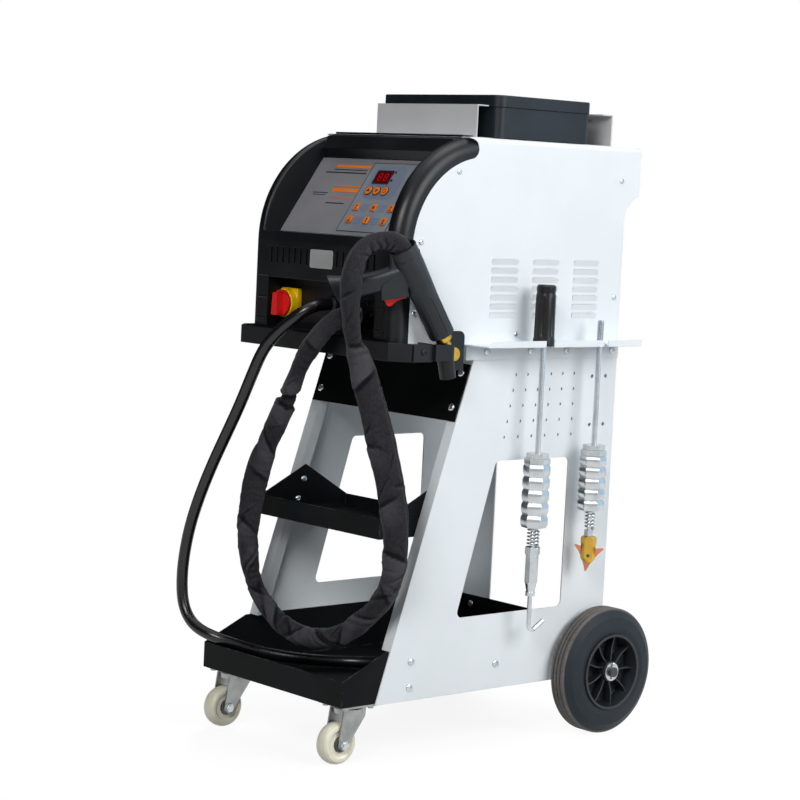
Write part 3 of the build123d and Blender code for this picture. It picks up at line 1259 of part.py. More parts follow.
def toolbox_lid():
    """Flat lid that overhangs the box, with a hollow underside and two hinge knuckles."""
    lid = rounded_box(-LID_OVER, BOX_LID_LINE, BOX_TOP)
    lid -= rounded_box(BOX_WALL, BOX_LID_LINE - 5, BOX_TOP - BOX_WALL)
    top = lid.faces().sort_by(Axis.Z)[-1]
    lid = fillet(top.edges(), 2.0)
    for x in (-70.0, 70.0):
        lid += rod_x(2.4, x - 9.0, x + 9.0, BOX_REAR + HINGE_OUT, BOX_LID_LINE)
        lid -= rod_x(1.2 + RUNNING, x - 14.0, x + 14.0, BOX_REAR + HINGE_OUT, BOX_LID_LINE)
        lid -= block(x - 9.5, x + 9.5, BOX_REAR - 2.0, BOX_REAR + 0.2, BOX_LID_LINE - 5.0, BOX_LID_LINE)
        for dx in (-12.0, 12.0):
            lid -= block(x + dx - 2.5, x + dx + 2.5, BOX_REAR - 2.0, BOX_REAR + 7.0,
                         BOX_LID_LINE - 5.0, BOX_LID_LINE + 5.0)
    return lid


def rounded_box(inset, z0, z1):
    """The box's plan, drawn in by an inset, pulled up between two heights."""
    wide = BOX_RIGHT - BOX_LEFT - 2 * inset
    deep = BOX_REAR - BOX_FRONT - 2 * inset
    face = RectangleRounded(wide, deep, BOX_CORNER - inset)
    return extrude(Pos((BOX_LEFT + BOX_RIGHT) / 2, (BOX_FRONT + BOX_REAR) / 2, z0) * face, z1 - z0)


# Slide hammers in the rack

def hammer_weight(y, low, high):
    """Zinc-plated hexagonal weight with soft rings along it and a stepped collar."""
    length = high - low
    body = length - 16.0
    ring = body / WEIGHT_RINGS
    dip = WEIGHT_FLAT - WEIGHT_WAVE
    side = []
    for k in range(WEIGHT_RINGS):
        side.append(ThreePointArc((dip, k * ring), (WEIGHT_FLAT, (k + 0.5) * ring), (dip, (k + 1) * ring)))
    collar = WEIGHT_FLAT - 1.2
    steps = [(dip, body), (collar, body), (collar, body + 8.0), (dip - 1.0, body + 9.0),
             (dip - 1.0, length), (0, length), (0, 0), (dip, 0)]
    side += [Line(p, q) for p, q in zip(steps, steps[1:])]
    half = Plane.XZ * make_face(side)
    slab = extrude(half, 30.0, both=True)
    slab += mirrored(slab)
    shape = slab & (Rot(0, 0, 60.0) * slab) & (Rot(0, 0, 120.0) * slab)
    shape = shape & (Pos(0, 0, length / 2) * Cylinder(WEIGHT_CORNER_R, length + 2))
    shape -= rod_z(ROD_R + RUNNING, -1, length + 1, 0, 0)
    return Pos(TOOL_X, y, low) * Rot(0, 0, WEIGHT_TURN) * shape


def hook_rod():
    """Steel rod of the hook puller from its grip to its chuck."""
    return rod_z(ROD_R, HOOK_ROD_LOW, HOOK_ROD_TOP, TOOL_X, HOOK_Y)


def hook_grip():
    """Black fluted handle that rests on the rack, tapered towards its cap."""
    low = RACK_TOP
    grip = Pos(TOOL_X, HOOK_Y, low) * spin([
        (0, 0), (GRIP_R, 0), (GRIP_R, 8.0), (GRIP_R - 1.0, 12.0), (GRIP_R - 2.0, 78.0),
        (GRIP_R - 3.0, 80.0), (GRIP_R - 3.0, 82.0), (GRIP_R - 2.0, 84.0), (GRIP_R - 2.5, 90.0),
        (GRIP_R - 5.0, 92.0), (0, 92.0)])
    for k in range(6):
        flute = Rot(0, 0, k * 60.0 + 30.0) * (Pos(GRIP_R, 0, 44.0) * Cylinder(2.6, 58.0))
        grip -= Pos(TOOL_X, HOOK_Y, low) * flute
    return grip - rod_z(ROD_R, low - 1, HOOK_ROD_TOP, TOOL_X, HOOK_Y)


def hook_chuck():
    """Hexagonal chuck with a wider nut above it and a collar below."""
    centre = Pos(TOOL_X, HOOK_Y, 0)
    body = extrude(Pos(0, 0, 254.0) * RegularPolygon(10.2, 6), 45.0)
    body &= spin([(0, 254.0), (8.6, 254.0), (10.4, 258.0), (10.4, 296.5), (9.2, 299.0), (0, 299.0)])
    taper = spin([(0, 241.0), (6.0, 241.0), (8.6, 254.5), (0, 254.5)])
    collar = rod_z(7.4, 235.5, 241.5, 0, 0)
    nut = extrude(Pos(0, 0, 299.0) * RegularPolygon(12.0, 6), 12.0)
    nut &= spin([(0, 298.0), (10.3, 298.0), (12.2, 301.5), (12.2, 308.5), (10.3, 312.0), (0, 312.0)])
    chuck = centre * (body + taper + collar + nut)
    chuck -= rod_z(ROD_R, HOOK_ROD_LOW, HOOK_ROD_LOW + 40.0, TOOL_X, HOOK_Y)
    return chuck - rod_z(HOOK_WIRE_R, 230.0, 250.0, TOOL_X, HOOK_Y)


def hook():
    """Bent steel wire at the foot of the puller."""
    path = FilletPolyline((TOOL_X, HOOK_Y, 250.0), (TOOL_X, HOOK_Y, 176.0), (TOOL_X, HOOK_Y + 30.0, 194.0),
                          radius=HOOK_BEND)
    return swept_tube(path, HOOK_WIRE_R)


def claw_rod():
    """Threaded steel rod of the claw puller with its two nuts."""
    rod = rod_z(ROD_R, CLAW_ROD_LOW, CLAW_ROD_TOP, TOOL_X, CLAW_Y)
    rest = rod_z(11.0, RACK_TOP, RACK_TOP + 2.0, TOOL_X, CLAW_Y)
    nut = extrude(Pos(TOOL_X, CLAW_Y, 319.6) * RegularPolygon(8.0, 6), 10.5)
    return rod + rest + nut


def claw_place():
    return Pos(TOOL_X, CLAW_Y, 0) * Rot(0, 0, CLAW_TURN)


def claw_head():
    """Brass hexagon with a chamfered foot, a cross hole and a slot for the claw."""
    head = extrude(Pos(0, 0, 279.0) * Rot(0, 0, 30.0) * RegularPolygon(12.4, 6), 40.3)
    head &= spin([(0, 279.0), (7.5, 279.0), (12.6, 286.0), (12.6, 317.0), (11.0, 319.3), (0, 319.3)])
    head -= block(-CLAW_HALF_T, CLAW_HALF_T, -20, 20, 270.0, 308.0)
    head -= rod_z(ROD_R, 308.0, 330.0, 0, 0)
    return claw_place() * (head - rod_x(2.6, -20, 20, 0, CLAW_PIN_Z))


def claw():
    """Copper three-point claw with hollow edges, in the head's slot."""
    tips = [((-19.2, 12.4), (-17.6, 15.0)), ((20.6, 9.8), (21.8, 6.8)), ((-0.4, -21.3), (-3.2, -21.1))]
    hollows = [(1.0, 7.0), (6.0, -4.6), (-6.6, -3.6)]
    edges = []
    for k in range(3):
        first, last = tips[k]
        following = tips[(k + 1) % 3][0]
        edges.append(Line(first, last))
        edges.append(ThreePointArc(last, hollows[k], following))
    plate = extrude(Plane.YZ.offset(-CLAW_HALF_T) * make_face(edges), 2 * CLAW_HALF_T)
    plate = Pos(0, 0, CLAW_PIN_Z) * plate
    return claw_place() * (plate - rod_x(2.6, -20, 20, 0, CLAW_PIN_Z))


# Inside the welder

def transformer_core():
    """Laminated shell core on the base plate: two windows round the middle limb."""
    low = PANEL_TOP + SHEET
    core = block(-75, 75, -40, 60, low, low + 130.0)
    for x0, x1 in ((-50, -18), (18, 50)):
        core -= block(x0, x1, -41, 61, low + 25.0, low + 105.0)
    return core


def transformer_windings():
    """Copper winding round the middle limb."""
    low = PANEL_TOP + SHEET + 25.0 + 2.0
    coil = block(-48, 48, -68, 88, low, low + 76.0)
    coil = fillet(coil.edges().filter_by(Axis.Z), 12.0)
    return coil - block(-18, 18, -40, 60, low - 1, low + 77.0)


def thyristor_block():
    """Switching block on a finned heat sink."""
    low = PANEL_TOP + SHEET
    sink = block(-140, -95, -60, 80, low, low + 8.0)
    for k in range(8):
        y = -58.0 + k * 19.0
        sink += block(-140, -95, y, y + 3.0, low + 7.0, low + 36.0)
    return sink + block(-134, -101, -45, 65, low + 36.0, low + 60.0)


def control_board():
    """Circuit board on four posts behind the control panel."""
    board = Pos(0, 0, -22.0) * Box(230.0, 100.0, 1.6)
    for x in (-108.0, 108.0):
        for y in (-44.0, 44.0):
            board += Pos(x, y, -11.6 - PANEL_T / 2) * Cylinder(3.0, 19.2)
    for x, y in ((-60.0, 10.0), (10.0, -20.0), (60.0, 15.0)):
        board += Pos(x, y, -29.0) * Box(34.0, 24.0, 13.0)
    return panel_frame() * board


def cover_screw_places():
    right = Plane(origin=(0, 0, 0), x_dir=(0, 1, 0), z_dir=(1, 0, 0))
    left = Plane(origin=(0, 0, 0), x_dir=(0, -1, 0), z_dir=(-1, 0, 0))
    places = []
    for y, z in COVER_SCREWS:
        places.append(Pos(PANEL_X, y, z) * right.location)
        places.append(Pos(-PANEL_X, y, z) * left.location)
    return places


def screws():
    """Domed heads of the trolley's screws and the smaller ones of the cover."""
    heads = [place * screw_head(SCREW_R, SCREW_T) for place in trolley_screw_places()]
    heads += [place * screw_head(SMALL_SCREW_R, SMALL_SCREW_T) for place in cover_screw_places()]
    return Compound(children=heads)


def build():
    parts = {
        "side_panel_right": side_panel(True),
        "side_panel_left": mirrored(side_panel(False)),
        "bottom_tray": bottom_tray(),
        "middle_shelf": middle_shelf(),
        "upper_front_panel": upper_front_panel(),
        "tool_rack": tool_rack(),
        "screws": screws(),
        "rear_axle": rear_axle(),
        "axle_hardware": axle_hardware(),
        "tyre_right": tyre(),
        "tyre_left": mirrored(tyre()),
        "rim_right": rim(),
        "rim_left": mirrored(rim()),
        "caster_plates": Compound(children=[caster_plate(), mirrored(caster_plate())]),
        "caster_fork_right": caster_fork(),
        "caster_fork_left": mirrored(caster_fork()),
        "caster_axle_right": caster_axle(),
        "caster_axle_left": mirrored(caster_axle()),
        "caster_wheel_right": caster_wheel(),
        "caster_wheel_left": mirrored(caster_wheel()),
        "machine_base": machine_base(),
        "machine_cover": machine_cover(),
        "rear_panel": rear_panel(),
        "front_bezel": front_bezel(),
        "control_panel": control_panel(),
        "key_film": key_film(),
        "display_window": display_window(),
        "front_ledge": front_ledge(),
        "switch_base": switch_base(),
        "switch_knob": switch_knob(),
        "cable_glands": cable_glands(),
        "gun_body": gun_body(),
        "gun_trigger": gun_trigger(),
        "gun_nozzle": gun_nozzle(),
        "gun_holder": gun_holder(),
        "earth_cable": cord_tube(EARTH_ROUTE, EARTH_D, "earth_cable"),
        "earth_coil": earth_coil(),
        "earth_clamp": earth_clamp(),
        "clamp_jaw": clamp_jaw(),
        "torch_sleeve": cord_tube(SLEEVE_ROUTE, SLEEVE_D, "torch_sleeve"),
        "toolbox_bracket": toolbox_bracket(),
        "toolbox_body": toolbox_body(),
        "toolbox_lid": toolbox_lid(),
        "hook_rod": hook_rod(),
        "hook_grip": hook_grip(),
        "hook_weight": hammer_weight(HOOK_Y, *HOOK_WEIGHT),
        "hook_spring": spring(TOOL_X, HOOK_Y, HOOK_SPRING_R, 311.0, HOOK_WEIGHT[0]),
        "hook_chuck": hook_chuck(),
        "hook": hook(),
        "claw_rod": claw_rod(),
        "claw_weight": hammer_weight(CLAW_Y, *CLAW_WEIGHT),
        "claw_spring": spring(TOOL_X, CLAW_Y, CLAW_SPRING_R, 330.1, CLAW_WEIGHT[0]),
        "claw_head": claw_head(),
        "claw": claw(),
        "transformer_core": transformer_core(),
        "transformer_windings": transformer_windings(),
        "thyristor_block": thyristor_block(),
        "control_board": control_board(),
        "fan_frame": fan_frame(),
        "fan_rotor": fan_rotor(),
    }
    return parts


os.makedirs("parts", exist_ok=True)
for node, shape in build().items():
    export_step(shape, os.path.join("parts", node + ".step"))
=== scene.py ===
# Dent pulling welder on its trolley: finishes, cords, cloth and small fittings, in metres.
import math
import random

import bmesh
import bpy
from mathutils import Matrix, Vector, noise


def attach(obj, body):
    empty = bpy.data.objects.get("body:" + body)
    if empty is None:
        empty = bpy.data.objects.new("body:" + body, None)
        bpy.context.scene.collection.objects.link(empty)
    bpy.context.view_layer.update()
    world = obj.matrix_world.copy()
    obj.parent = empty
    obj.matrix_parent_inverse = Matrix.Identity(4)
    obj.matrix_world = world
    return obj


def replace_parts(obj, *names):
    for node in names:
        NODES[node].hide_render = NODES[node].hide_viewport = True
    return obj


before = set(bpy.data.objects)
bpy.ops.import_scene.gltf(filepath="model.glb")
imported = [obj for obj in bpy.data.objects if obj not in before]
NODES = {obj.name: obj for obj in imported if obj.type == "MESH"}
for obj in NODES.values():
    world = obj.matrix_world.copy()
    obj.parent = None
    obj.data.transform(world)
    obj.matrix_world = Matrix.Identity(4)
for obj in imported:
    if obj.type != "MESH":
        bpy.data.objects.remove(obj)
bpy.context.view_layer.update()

MM = 0.001
UP = Vector((0.0, 0.0, 1.0))
RIGHT = Vector((1.0, 0.0, 0.0))
FRONT = Vector((0.0, -1.0, 0.0))
REAR = Vector((0.0, 1.0, 0.0))

# Camera, at the photograph's angle
CAMERA_PLACE = Vector((2.6745, -2.4568, 0.8494))
CAMERA_AIM = Vector((-0.0056, -0.0635, 0.5172))
CAMERA_ROLL = math.radians(2.78)
CAMERA_LENS = 104.27
CAMERA_SENSOR = 36.0

# The values from here to the finishes are in millimetres, and the two cord lengths in metres

# Earth lead: out of its gland, down to the tray and into the coil
EARTH_R = 9.0
EARTH_ROUTE = [
    (14, -232, 667), (14, -250, 667), (13, -265, 663), (6, -277, 655), (-6, -285, 644), (-21, -290.5, 631),
    (-41, -296, 612), (-58, -300, 590), (-77, -303, 551), (-100, -304, 507), (-128, -305.5, 460),
    (-159, -308, 407), (-186, -311, 351), (-205, -313, 300), (-214, -315.5, 245), (-213, -316, 203),
    (-205, -315.5, 176), (-188, -313.5, 157), (-166, -310, 147), (-143, -300, 140), (-125, -278, 131),
    (-107, -250, 121), (-90, -218, 113), (-75, -181, 107), (-60, -146, 103), (-40, -117, 102.3),
    (-10, -95, 104), (28, -77, 111), (66, -54, 119), (104, -29, 120.5), (136, -4, 120), (150, 20, 120),
    (150, 42, 120),
]
COIL_X = 50.0
COIL_Y = 60.0
COIL_R = 100.0
COIL_STEP = 20.0           # between two turns side by side
COIL_HIGH_Z = 120.0
COIL_LOW_Z = 101.3
COIL_TURNS = 2.25
COIL_POINTS = 24           # control points in each turn
COIL_TAIL = 50.0
TIE_TURNS = (215.0, 325.0)     # headings of the coil's ties
TIE_WIDE = 64.0
TIE_TALL = 40.0
TIE_IN = 12.0              # from the coil's outer turn to a tie's middle

# Cloth sleeve round the gun's cables, from the gun's tail to the torch outlet
SLEEVE_R = 16.5
SLEEVE_ROUTE = [
    (197.85, -248.6, 752.2), (198.14, -261.5, 770.8), (186, -281, 771.5), (178.5, -302, 766),
    (177, -319, 750), (179, -329, 731), (179.5, -332.5, 708), (176.5, -329.5, 680), (171, -321, 652),
    (167, -312, 627), (169, -303, 604), (174.5, -296, 578), (181, -290, 550), (188, -283, 518),
    (195, -277, 485), (203, -271.5, 453), (209.5, -266, 420), (214, -261, 387), (215, -255, 352),
    (209.5, -249, 316), (198.5, -244, 282), (180, -241, 252), (154, -240, 225), (127, -241, 203),
    (98, -243.5, 184), (66, -246, 170), (32, -250, 165), (-1, -255, 166), (-30, -260, 176),
    (-56, -265, 193), (-78, -268, 214), (-95, -270, 239), (-105, -271, 268), (-109.5, -271, 300),
    (-108, -271, 333), (-103, -270.5, 365), (-95, -270, 396), (-84, -270, 425), (-70, -270.5, 451),
    (-54, -271, 476), (-39, -272, 503), (-22, -273, 528), (-8, -274, 554), (7, -275, 580),
    (25, -276, 603), (46, -276.5, 623), (64, -272, 641), (70, -253, 655), (70, -232, 655),
]
SLEEVE_WIDTHS = [          # width across the sleeve at each point of its route
    29, 28, 26.5, 26.5, 28, 29.5, 30.5, 28.5, 26, 23.5, 35, 39, 39.5, 41.5, 43, 42, 42, 41, 37.5, 37,
    32, 31.5, 31, 30.5, 30.5, 30.5, 30.5, 30.5, 30.5, 28, 26, 25.5, 29, 31, 36, 39, 39, 36.5, 31, 33,
    29, 24.6, 24.6, 26.5, 30, 30, 29, 28, 27,
]
SLEEVE_GIRTH = 106.0       # cloth round it, so that a wide stretch is a flat one
SLEEVE_LENGTH = 1.443
SLEEVE_RING = 2.6          # between two rings of the cloth's mesh
SLEEVE_SIDES = 60
SLEEVE_ENDS = 22.0         # the folds die out over this length at each end
SLEEVE_CREASES = 150
CREASE_ENDS = 20.0         # no crease lies nearer to an end than this
CREASE_REACH = 60.0        # a crease or fold changes nothing beyond this
SLEEVE_FOLDS = [           # place on the route, how far it stands out, way it faces, slant, heading, reach
    (9.3, 1.9, 1, 4, 1.6, 2.2), (11.2, 3.4, -1, -12, 2.0, 1.9), (14.4, 1.5, 1, 9, 2.6, 1.3),
    (16.6, 1.8, 1, -9, 2.2, 1.5), (18.9, 3.2, 1, 8, 1.5, 2.6), (20.6, 2.2, -1, 17, 1.2, 1.9),
    (22.2, 2.6, 1, -19, 1.8, 1.9), (23.8, 2.4, -1, 19, 1.0, 1.9), (25.2, 2.6, 1, -21, 2.0, 2.0),
    (26.8, 2.4, -1, 19, 1.4, 2.0), (28.4, 2.6, 1, -18, 1.8, 1.9), (30.0, 2.3, -1, 19, 1.0, 1.8),
    (31.6, 2.2, 1, -16, 2.0, 1.8), (33.6, 2.0, -1, 15, 1.1, 1.7), (36.4, 1.6, 1, 13, 1.8, 1.6),
    (38.2, 2.4, -1, 19, 1.6, 2.1), (40.5, 3.2, -1, 3, 1.6, 3.2), (41.2, 2.8, 1, -5, 1.6, 3.2),
    (44.6, 1.4, 1, 6, 1.6, 1.6),
]
PUCKER_PITCH = 14.0        # gathers on the inside of a bend
PUCKER_DEPTH = 8.0
TWIST_PITCH = 150.0        # the bottom of the loop is twisted, a turn in this length
TWIST_BEGINS = (19.0, 21.5)    # stretches of the route where the twist comes and goes
TWIST_ENDS = (32.0, 35.0)
SEAM_START = 11.4          # stretch of the route with the sewn seam
SEAM_END = 20.5
SEAM_TURNS = (18.5, 23.0)  # and where it turns from the right edge to the inside of the bend
STITCH_PITCH = 5.2
STITCH_SIZE = (1.3, 3.6, 0.9)
STITCH_INSET = 6.0         # from the seam's ends to the first and the last stitch

# Slanted control panel: its middle and outward direction, and what lies on it
PANEL_MIDDLE = (0.0, -166.75, 829.35)
PANEL_OUT = (0.0, -0.8205, 0.5717)
FILM_MIDDLE = (42.0, 0.0)
FILM_SIZE = (110.0, 127.5)
FILM_TOP = 0.6
ROUND_KEY_TOP = 2.0
SQUARE_KEY_TOP = 1.8
WINDOW_TOP = 1.6
ROUND_KEYS = (10.0, 28.5, 47.0)
ROUND_KEY_Y = 11.5
ROUND_CAP_T = 0.6
KEY_CAP = 12.4
SQUARE_KEYS = (5.0, 44.0, 83.0)
SQUARE_KEY_ROWS = (-19.5, -43.0)
WINDOW_MIDDLE = (25.0, 37.0)
WINDOW_SIZE = (37.0, 25.0)
DIGITS = (-6.5, 6.5)       # from the window's middle
PANEL_LAMPS = ((47.0, 47.1), (47.0, 31.9))

# Gun: nose and tail of its barrel
GUN_NOSE = Vector((196.0, -168.9, 637.5))
GUN_TAIL = Vector((198.0, -255.4, 762.0))

# Main switch on the wall of its recess
SWITCH_PLACE = (-104.0, -206.0, 661.7)
SWITCH_DEPTH = 20.5

# Sheet sides and screws
SIDE_X = 169.0
SHEET_T = 2.0
EDGE_LOW = (-239.0, 88.0)  # front edge of the side panels, bottom and top
EDGE_HIGH = (-68.6, 617.0)
EDGE_OUT = (0.0, -0.9518, 0.3067)      # square to that edge, to the front
COVER_SCREWS = (
    (-124.5, 874.0), (-193.8, 769.0), (-200.8, 665.0), (224.2, 873.0), (220.9, 690.5), (8.7, 633.0))
TRAY_SCREWS = ((-173.0, 147.0), (-174.0, 108.0), (2.0, 127.0))
TRAY_REAR_SCREW = (131.0, 232.0, 150.0)
SHELF_SCREW_X = 146.7
SHELF_SCREW_BACK = 10.5    # behind the panels' front edge
SHELF_SCREWS = (379.0, 348.0)
FRONT_SCREW_X = 153.0
FRONT_SCREW_OUT = 2.0      # ahead of the panels' front edge
FRONT_SCREWS = (523.0, 574.0)
RACK_SCREWS = (-51.0, 41.0, 119.0, 221.0)
RACK_SCREW_X = SIDE_X + SHEET_T
RACK_SCREW_Z = 608.0
LARGE_HEAD = (6.0, 3.5)    # radius and height
SMALL_HEAD = (4.5, 2.6)

# Peg holes of the right panel, from the top row's rear end
PEG_REAR = 140.7
PEG_TOP = 571.7
PEG_R = 2.19
PEG_ROWS = 5
PEG_COLUMNS = 6
PEG_STEP = 25.3
PEG_SPREAD = 0.93          # each lower row is spaced wider by this
PEG_DROP = 23.8

# Welder's outer faces and what sits on them
COVER_TOP = 925.6
BEZEL_FRONT = -239.4
REAR_Y = 235.0
PILLAR_CORNER = (148.0, -218.4)    # centre of the pillars' round corner
BEAD_R = 1.5
BEAD_START = 126.5
BEAD_BACK = 9.0
BEAD_HEIGHTS = (703.0, 669.0, 637.0)
BADGE_PLACE = (0.75, BEZEL_FRONT, 734.0)
LIP_PLACE = (1.0, -90.5, COVER_TOP)
LIP_SIZE = (296.0, 22.0, 3.2)
BRACKET_SCREWS = (-107.0, 77.0)
BRACKET_SCREW_Y = -51.0
BRACKET_SCREW_Z = COVER_TOP + 1.0
BRACKET_TAB_Y = -50.0
FAN_PLACE = (70.0, REAR_Y, 710.0)
FAN_RINGS = (14.0, 27.0, 40.0, 53.0)
RATING_PLACE = (-60.0, REAR_Y, 762.0)
INLET_PLACE = (-92.0, REAR_Y, 690.0)
HOLDER_DISC_PLACE = (194.0, -139.0, 607.0)
HOLDER_SCREW_PLACE = (201.0, -206.0, 611.0)

# Wheels and casters
WHEEL_R = 100.0
AXLE_Y = 216.0
TREAD_FROM = 95.5          # radii over which the sidewall turns into the dusty tread
TREAD_TO = 98.5
CASTER_X = 137.2
CASTER_Y = -264.0
CASTER_WHEEL_Y = -284.4
CASTER_R = 31.5
CASTER_RACE_R = 18.6
CASTER_RACE_Z = 85.2

# Slide hammers on the rack
TOOL_X = 205.0
HOOK_Y = 34.0
CLAW_Y = 157.0
RACK_TOP = 619.0
SPRING_WIRE_R = 1.5
SPRING_TURNS = 5
HOOK_SPRING = (8.3, 312.65, 339.1)     # radius, foot and top
CLAW_SPRING = (7.2, 331.75, 358.6)
THREAD = (4.9, 621.0, 655.0)
THREAD_WIRE_R = 0.55
THREAD_TURNS = 22
GRIP_FLUTES = 6
FLUTE_OUT = 20.2           # from the grip's axis to a flute's
CLAW_Z = 290.0
CLAW_OUT = (0.7071, -0.7071, 0.0)
CLAW_R = 27.0
CLAW_TURN = 186.0
CLAW_HOLLOWS = (84.0, 204.0, 324.0)    # headings of its hollow edges
HOLLOW_R = 90.0
HOLLOW_OUT = 101.3

# Finishes, in metres: radii of the softened edges and depths of the fine relief
PAINT_EDGE = 0.0012
PLASTIC_EDGE = 0.0015
METAL_EDGE = 0.0003
RUBBER_EDGE = 0.001
STREAK_DEPTH = 0.000004
RUBBER_DEPTH = 0.00005
CANVAS_DEPTH = 0.00022
WEAVE = 2 * math.pi / 1.4  # threads of 1.4 mm, on a UV map in millimetres
SMOOTH_ANGLE = math.radians(35)

# Stage, in metres
LAMPS = (                  # name, place, size, watts and whether reflections show it
    ("key", (3.2, 0.8, 2.0), 2.4, 83.0, True),
    ("front", (1.7, -2.8, 2.3), 1.4, 68.0, True),
    ("top", (0.4, 0.2, 3.4), 1.6, 22.0, True),
    ("rear", (-2.4, 2.6, 1.9), 1.6, 110.0, False),
)
LAMP_AIM = Vector((0.0, 0.0, 0.5))
AMBIENT = 0.06
SEEN_THROUGH = ("Is Transmission Ray", "Is Glossy Ray")    # these meet plain white, as the camera does
ROOM_R = 4.8
ROOM_BLACK = (0.02, 0.02, 0.022)
ROOM_SIDES = (             # name, first and last heading, height and colour
    ("dark_side", -232.0, -80.0, 7.0, ROOM_BLACK),
    ("near_side", -80.0, 5.0, 7.0, (0.44, 0.44, 0.44)),
    ("daylight_side", 5.0, 95.0, 3.0, (0.66, 0.84, 1.0)),
)
FLOOR_SIZE = 30.0
FLOOR_PALE = 0.42          # the floor's shadow fades to white between these radii
FLOOR_WHITE = 0.9


class Signal:
    """One output in a material's node tree. Its operators add Math nodes."""

    def __init__(self, finish, socket):
        self.finish = finish
        self.socket = socket

    def maths(self, operation, *terms):
        return self.finish.node("ShaderNodeMath", {"operation": operation}, dict(enumerate(terms)))

    def __add__(self, other):
        return self.maths("ADD", self, other)

    def __radd__(self, other):
        return self.maths("ADD", other, self)

    def __sub__(self, other):
        return self.maths("SUBTRACT", self, other)

    def __rsub__(self, other):
        return self.maths("SUBTRACT", other, self)

    def __mul__(self, other):
        return self.maths("MULTIPLY", self, other)

    def __rmul__(self, other):
        return self.maths("MULTIPLY", other, self)

    def sine(self):
        return self.maths("SINE", self)

    def root(self):
        return self.maths("SQRT", self)

    def within(self, low, high):
        """0 below low, 1 above high and a smooth rise between them."""
        settings = {"interpolation_type": "SMOOTHSTEP"}
        return self.finish.node("ShaderNodeMapRange", settings, {0: self, 1: low, 2: high})


class Finish:
    """A material with its node tree and its surface shader."""

    def __init__(self, name, **sockets):
        self.material = bpy.data.materials.new(name)
        self.material.use_nodes = True
        self.tree = self.material.node_tree
        self.shader = self.tree.nodes["Principled BSDF"]
        self.coat(**sockets)

    def feed(self, socket, value):
        if isinstance(value, Signal):
            self.tree.links.new(value.socket, socket)
        elif socket.type == "RGBA":
            socket.default_value = (*value, 1.0)
        else:
            socket.default_value = value

    def node(self, kind, settings=None, inputs=None, output=0):
        made = self.tree.nodes.new(kind)
        for name, value in (settings or {}).items():
            setattr(made, name, value)
        for name, value in (inputs or {}).items():
            self.feed(made.inputs[name], value)
        return Signal(self, made.outputs[output])

    def coat(self, **sockets):
        """Sets the shader's own sockets, named in lower case with underscores."""
        for name, value in sockets.items():
            self.feed(self.shader.inputs[name.replace("_", " ").title().replace("Ior", "IOR")], value)

    def place(self, kind="Object"):
        return self.node("ShaderNodeTexCoord", output=kind)

    def axis(self, name, kind="Object"):
        return self.node("ShaderNodeSeparateXYZ", inputs={0: self.place(kind)}, output=name)

    def stretched(self, scale):
        inputs = {"Vector": self.place(), "Scale": scale}
        return self.node("ShaderNodeMapping", {"vector_type": "TEXTURE"}, inputs)

    def cloud(self, scale, detail=2.0, rough=0.5, vector=None):
        inputs = {"Vector": vector or self.place(), "Scale": scale, "Detail": detail, "Roughness": rough}
        return self.node("ShaderNodeTexNoise", inputs=inputs)

    def cells(self, scale):
        return self.node("ShaderNodeTexVoronoi", inputs={"Vector": self.place(), "Scale": scale})

    def mix(self, factor, first, second):
        return self.node("ShaderNodeMix", {"data_type": "RGBA"}, {0: factor, 6: first, 7: second}, 2)

    def soft_edges(self, radius):
        return self.node("ShaderNodeBevel", {"samples": 4}, {"Radius": radius})

    def edge_wear(self, rounded):
        """1 where the surface turns sharply, 0 on its flats."""
        flat = self.node("ShaderNodeNewGeometry", output="Normal")
        both = {0: rounded, 1: flat}
        same = self.node("ShaderNodeVectorMath", {"operation": "DOT_PRODUCT"}, both, "Value")
        return (1 - same).within(0.02, 0.2)

    def relief(self, height, depth, normal=None):
        inputs = {"Strength": 1.0, "Distance": depth, "Height": height}
        if normal:
            inputs["Normal"] = normal
        return self.node("ShaderNodeBump", inputs=inputs)


def powder_coat(name, color, shade, edge, roughness, peel, gloss):
    """Baked powder paint: an orange-peel skin with faint clouding and rubbed edges."""
    f = Finish(name, specular_ior_level=gloss)
    rounded = f.soft_edges(PAINT_EDGE)
    cloud = f.cloud(9, 4)
    rubbed = f.edge_wear(rounded) * f.cloud(60, 3).within(0.45, 0.6)
    paint = f.mix(cloud.within(0.35, 0.7), color, shade)
    f.coat(
        base_color=f.mix(rubbed * 0.5, paint, edge),
        roughness=cloud * 0.12 + roughness,
        normal=f.relief(f.cloud(900, 2), peel, rounded),
    )
    return f.material


def moulded_plastic(name, color, shade, roughness, grain, gloss=0.4, scale=1500):
    """Injection-moulded plastic with a fine spark-eroded grain."""
    f = Finish(name, specular_ior_level=gloss)
    rounded = f.soft_edges(PLASTIC_EDGE)
    cloud = f.cloud(14, 3)
    scuffs = f.cloud(120, 5, 0.7).within(0.62, 0.75)
    f.coat(
        base_color=f.mix(cloud.within(0.3, 0.7), color, shade),
        roughness=cloud * 0.14 + scuffs * 0.08 + roughness,
        normal=f.relief(f.cells(scale), grain, rounded),
    )
    return f.material


def bare_metal(name, color, shade, roughness, lay=(1, 1, 1)):
    """Bright metal with machining streaks along one direction and faint stains."""
    f = Finish(name, metallic=1.0)
    rounded = f.soft_edges(METAL_EDGE)
    streak = f.cloud(220, 3, 0.6, f.stretched(lay))
    stain = f.cloud(45, 4)
    f.coat(
        base_color=f.mix(stain.within(0.35, 0.7), color, shade),
        roughness=streak * 0.08 + stain * 0.05 + roughness,
        normal=f.relief(streak, STREAK_DEPTH, rounded),
    )
    return f.material


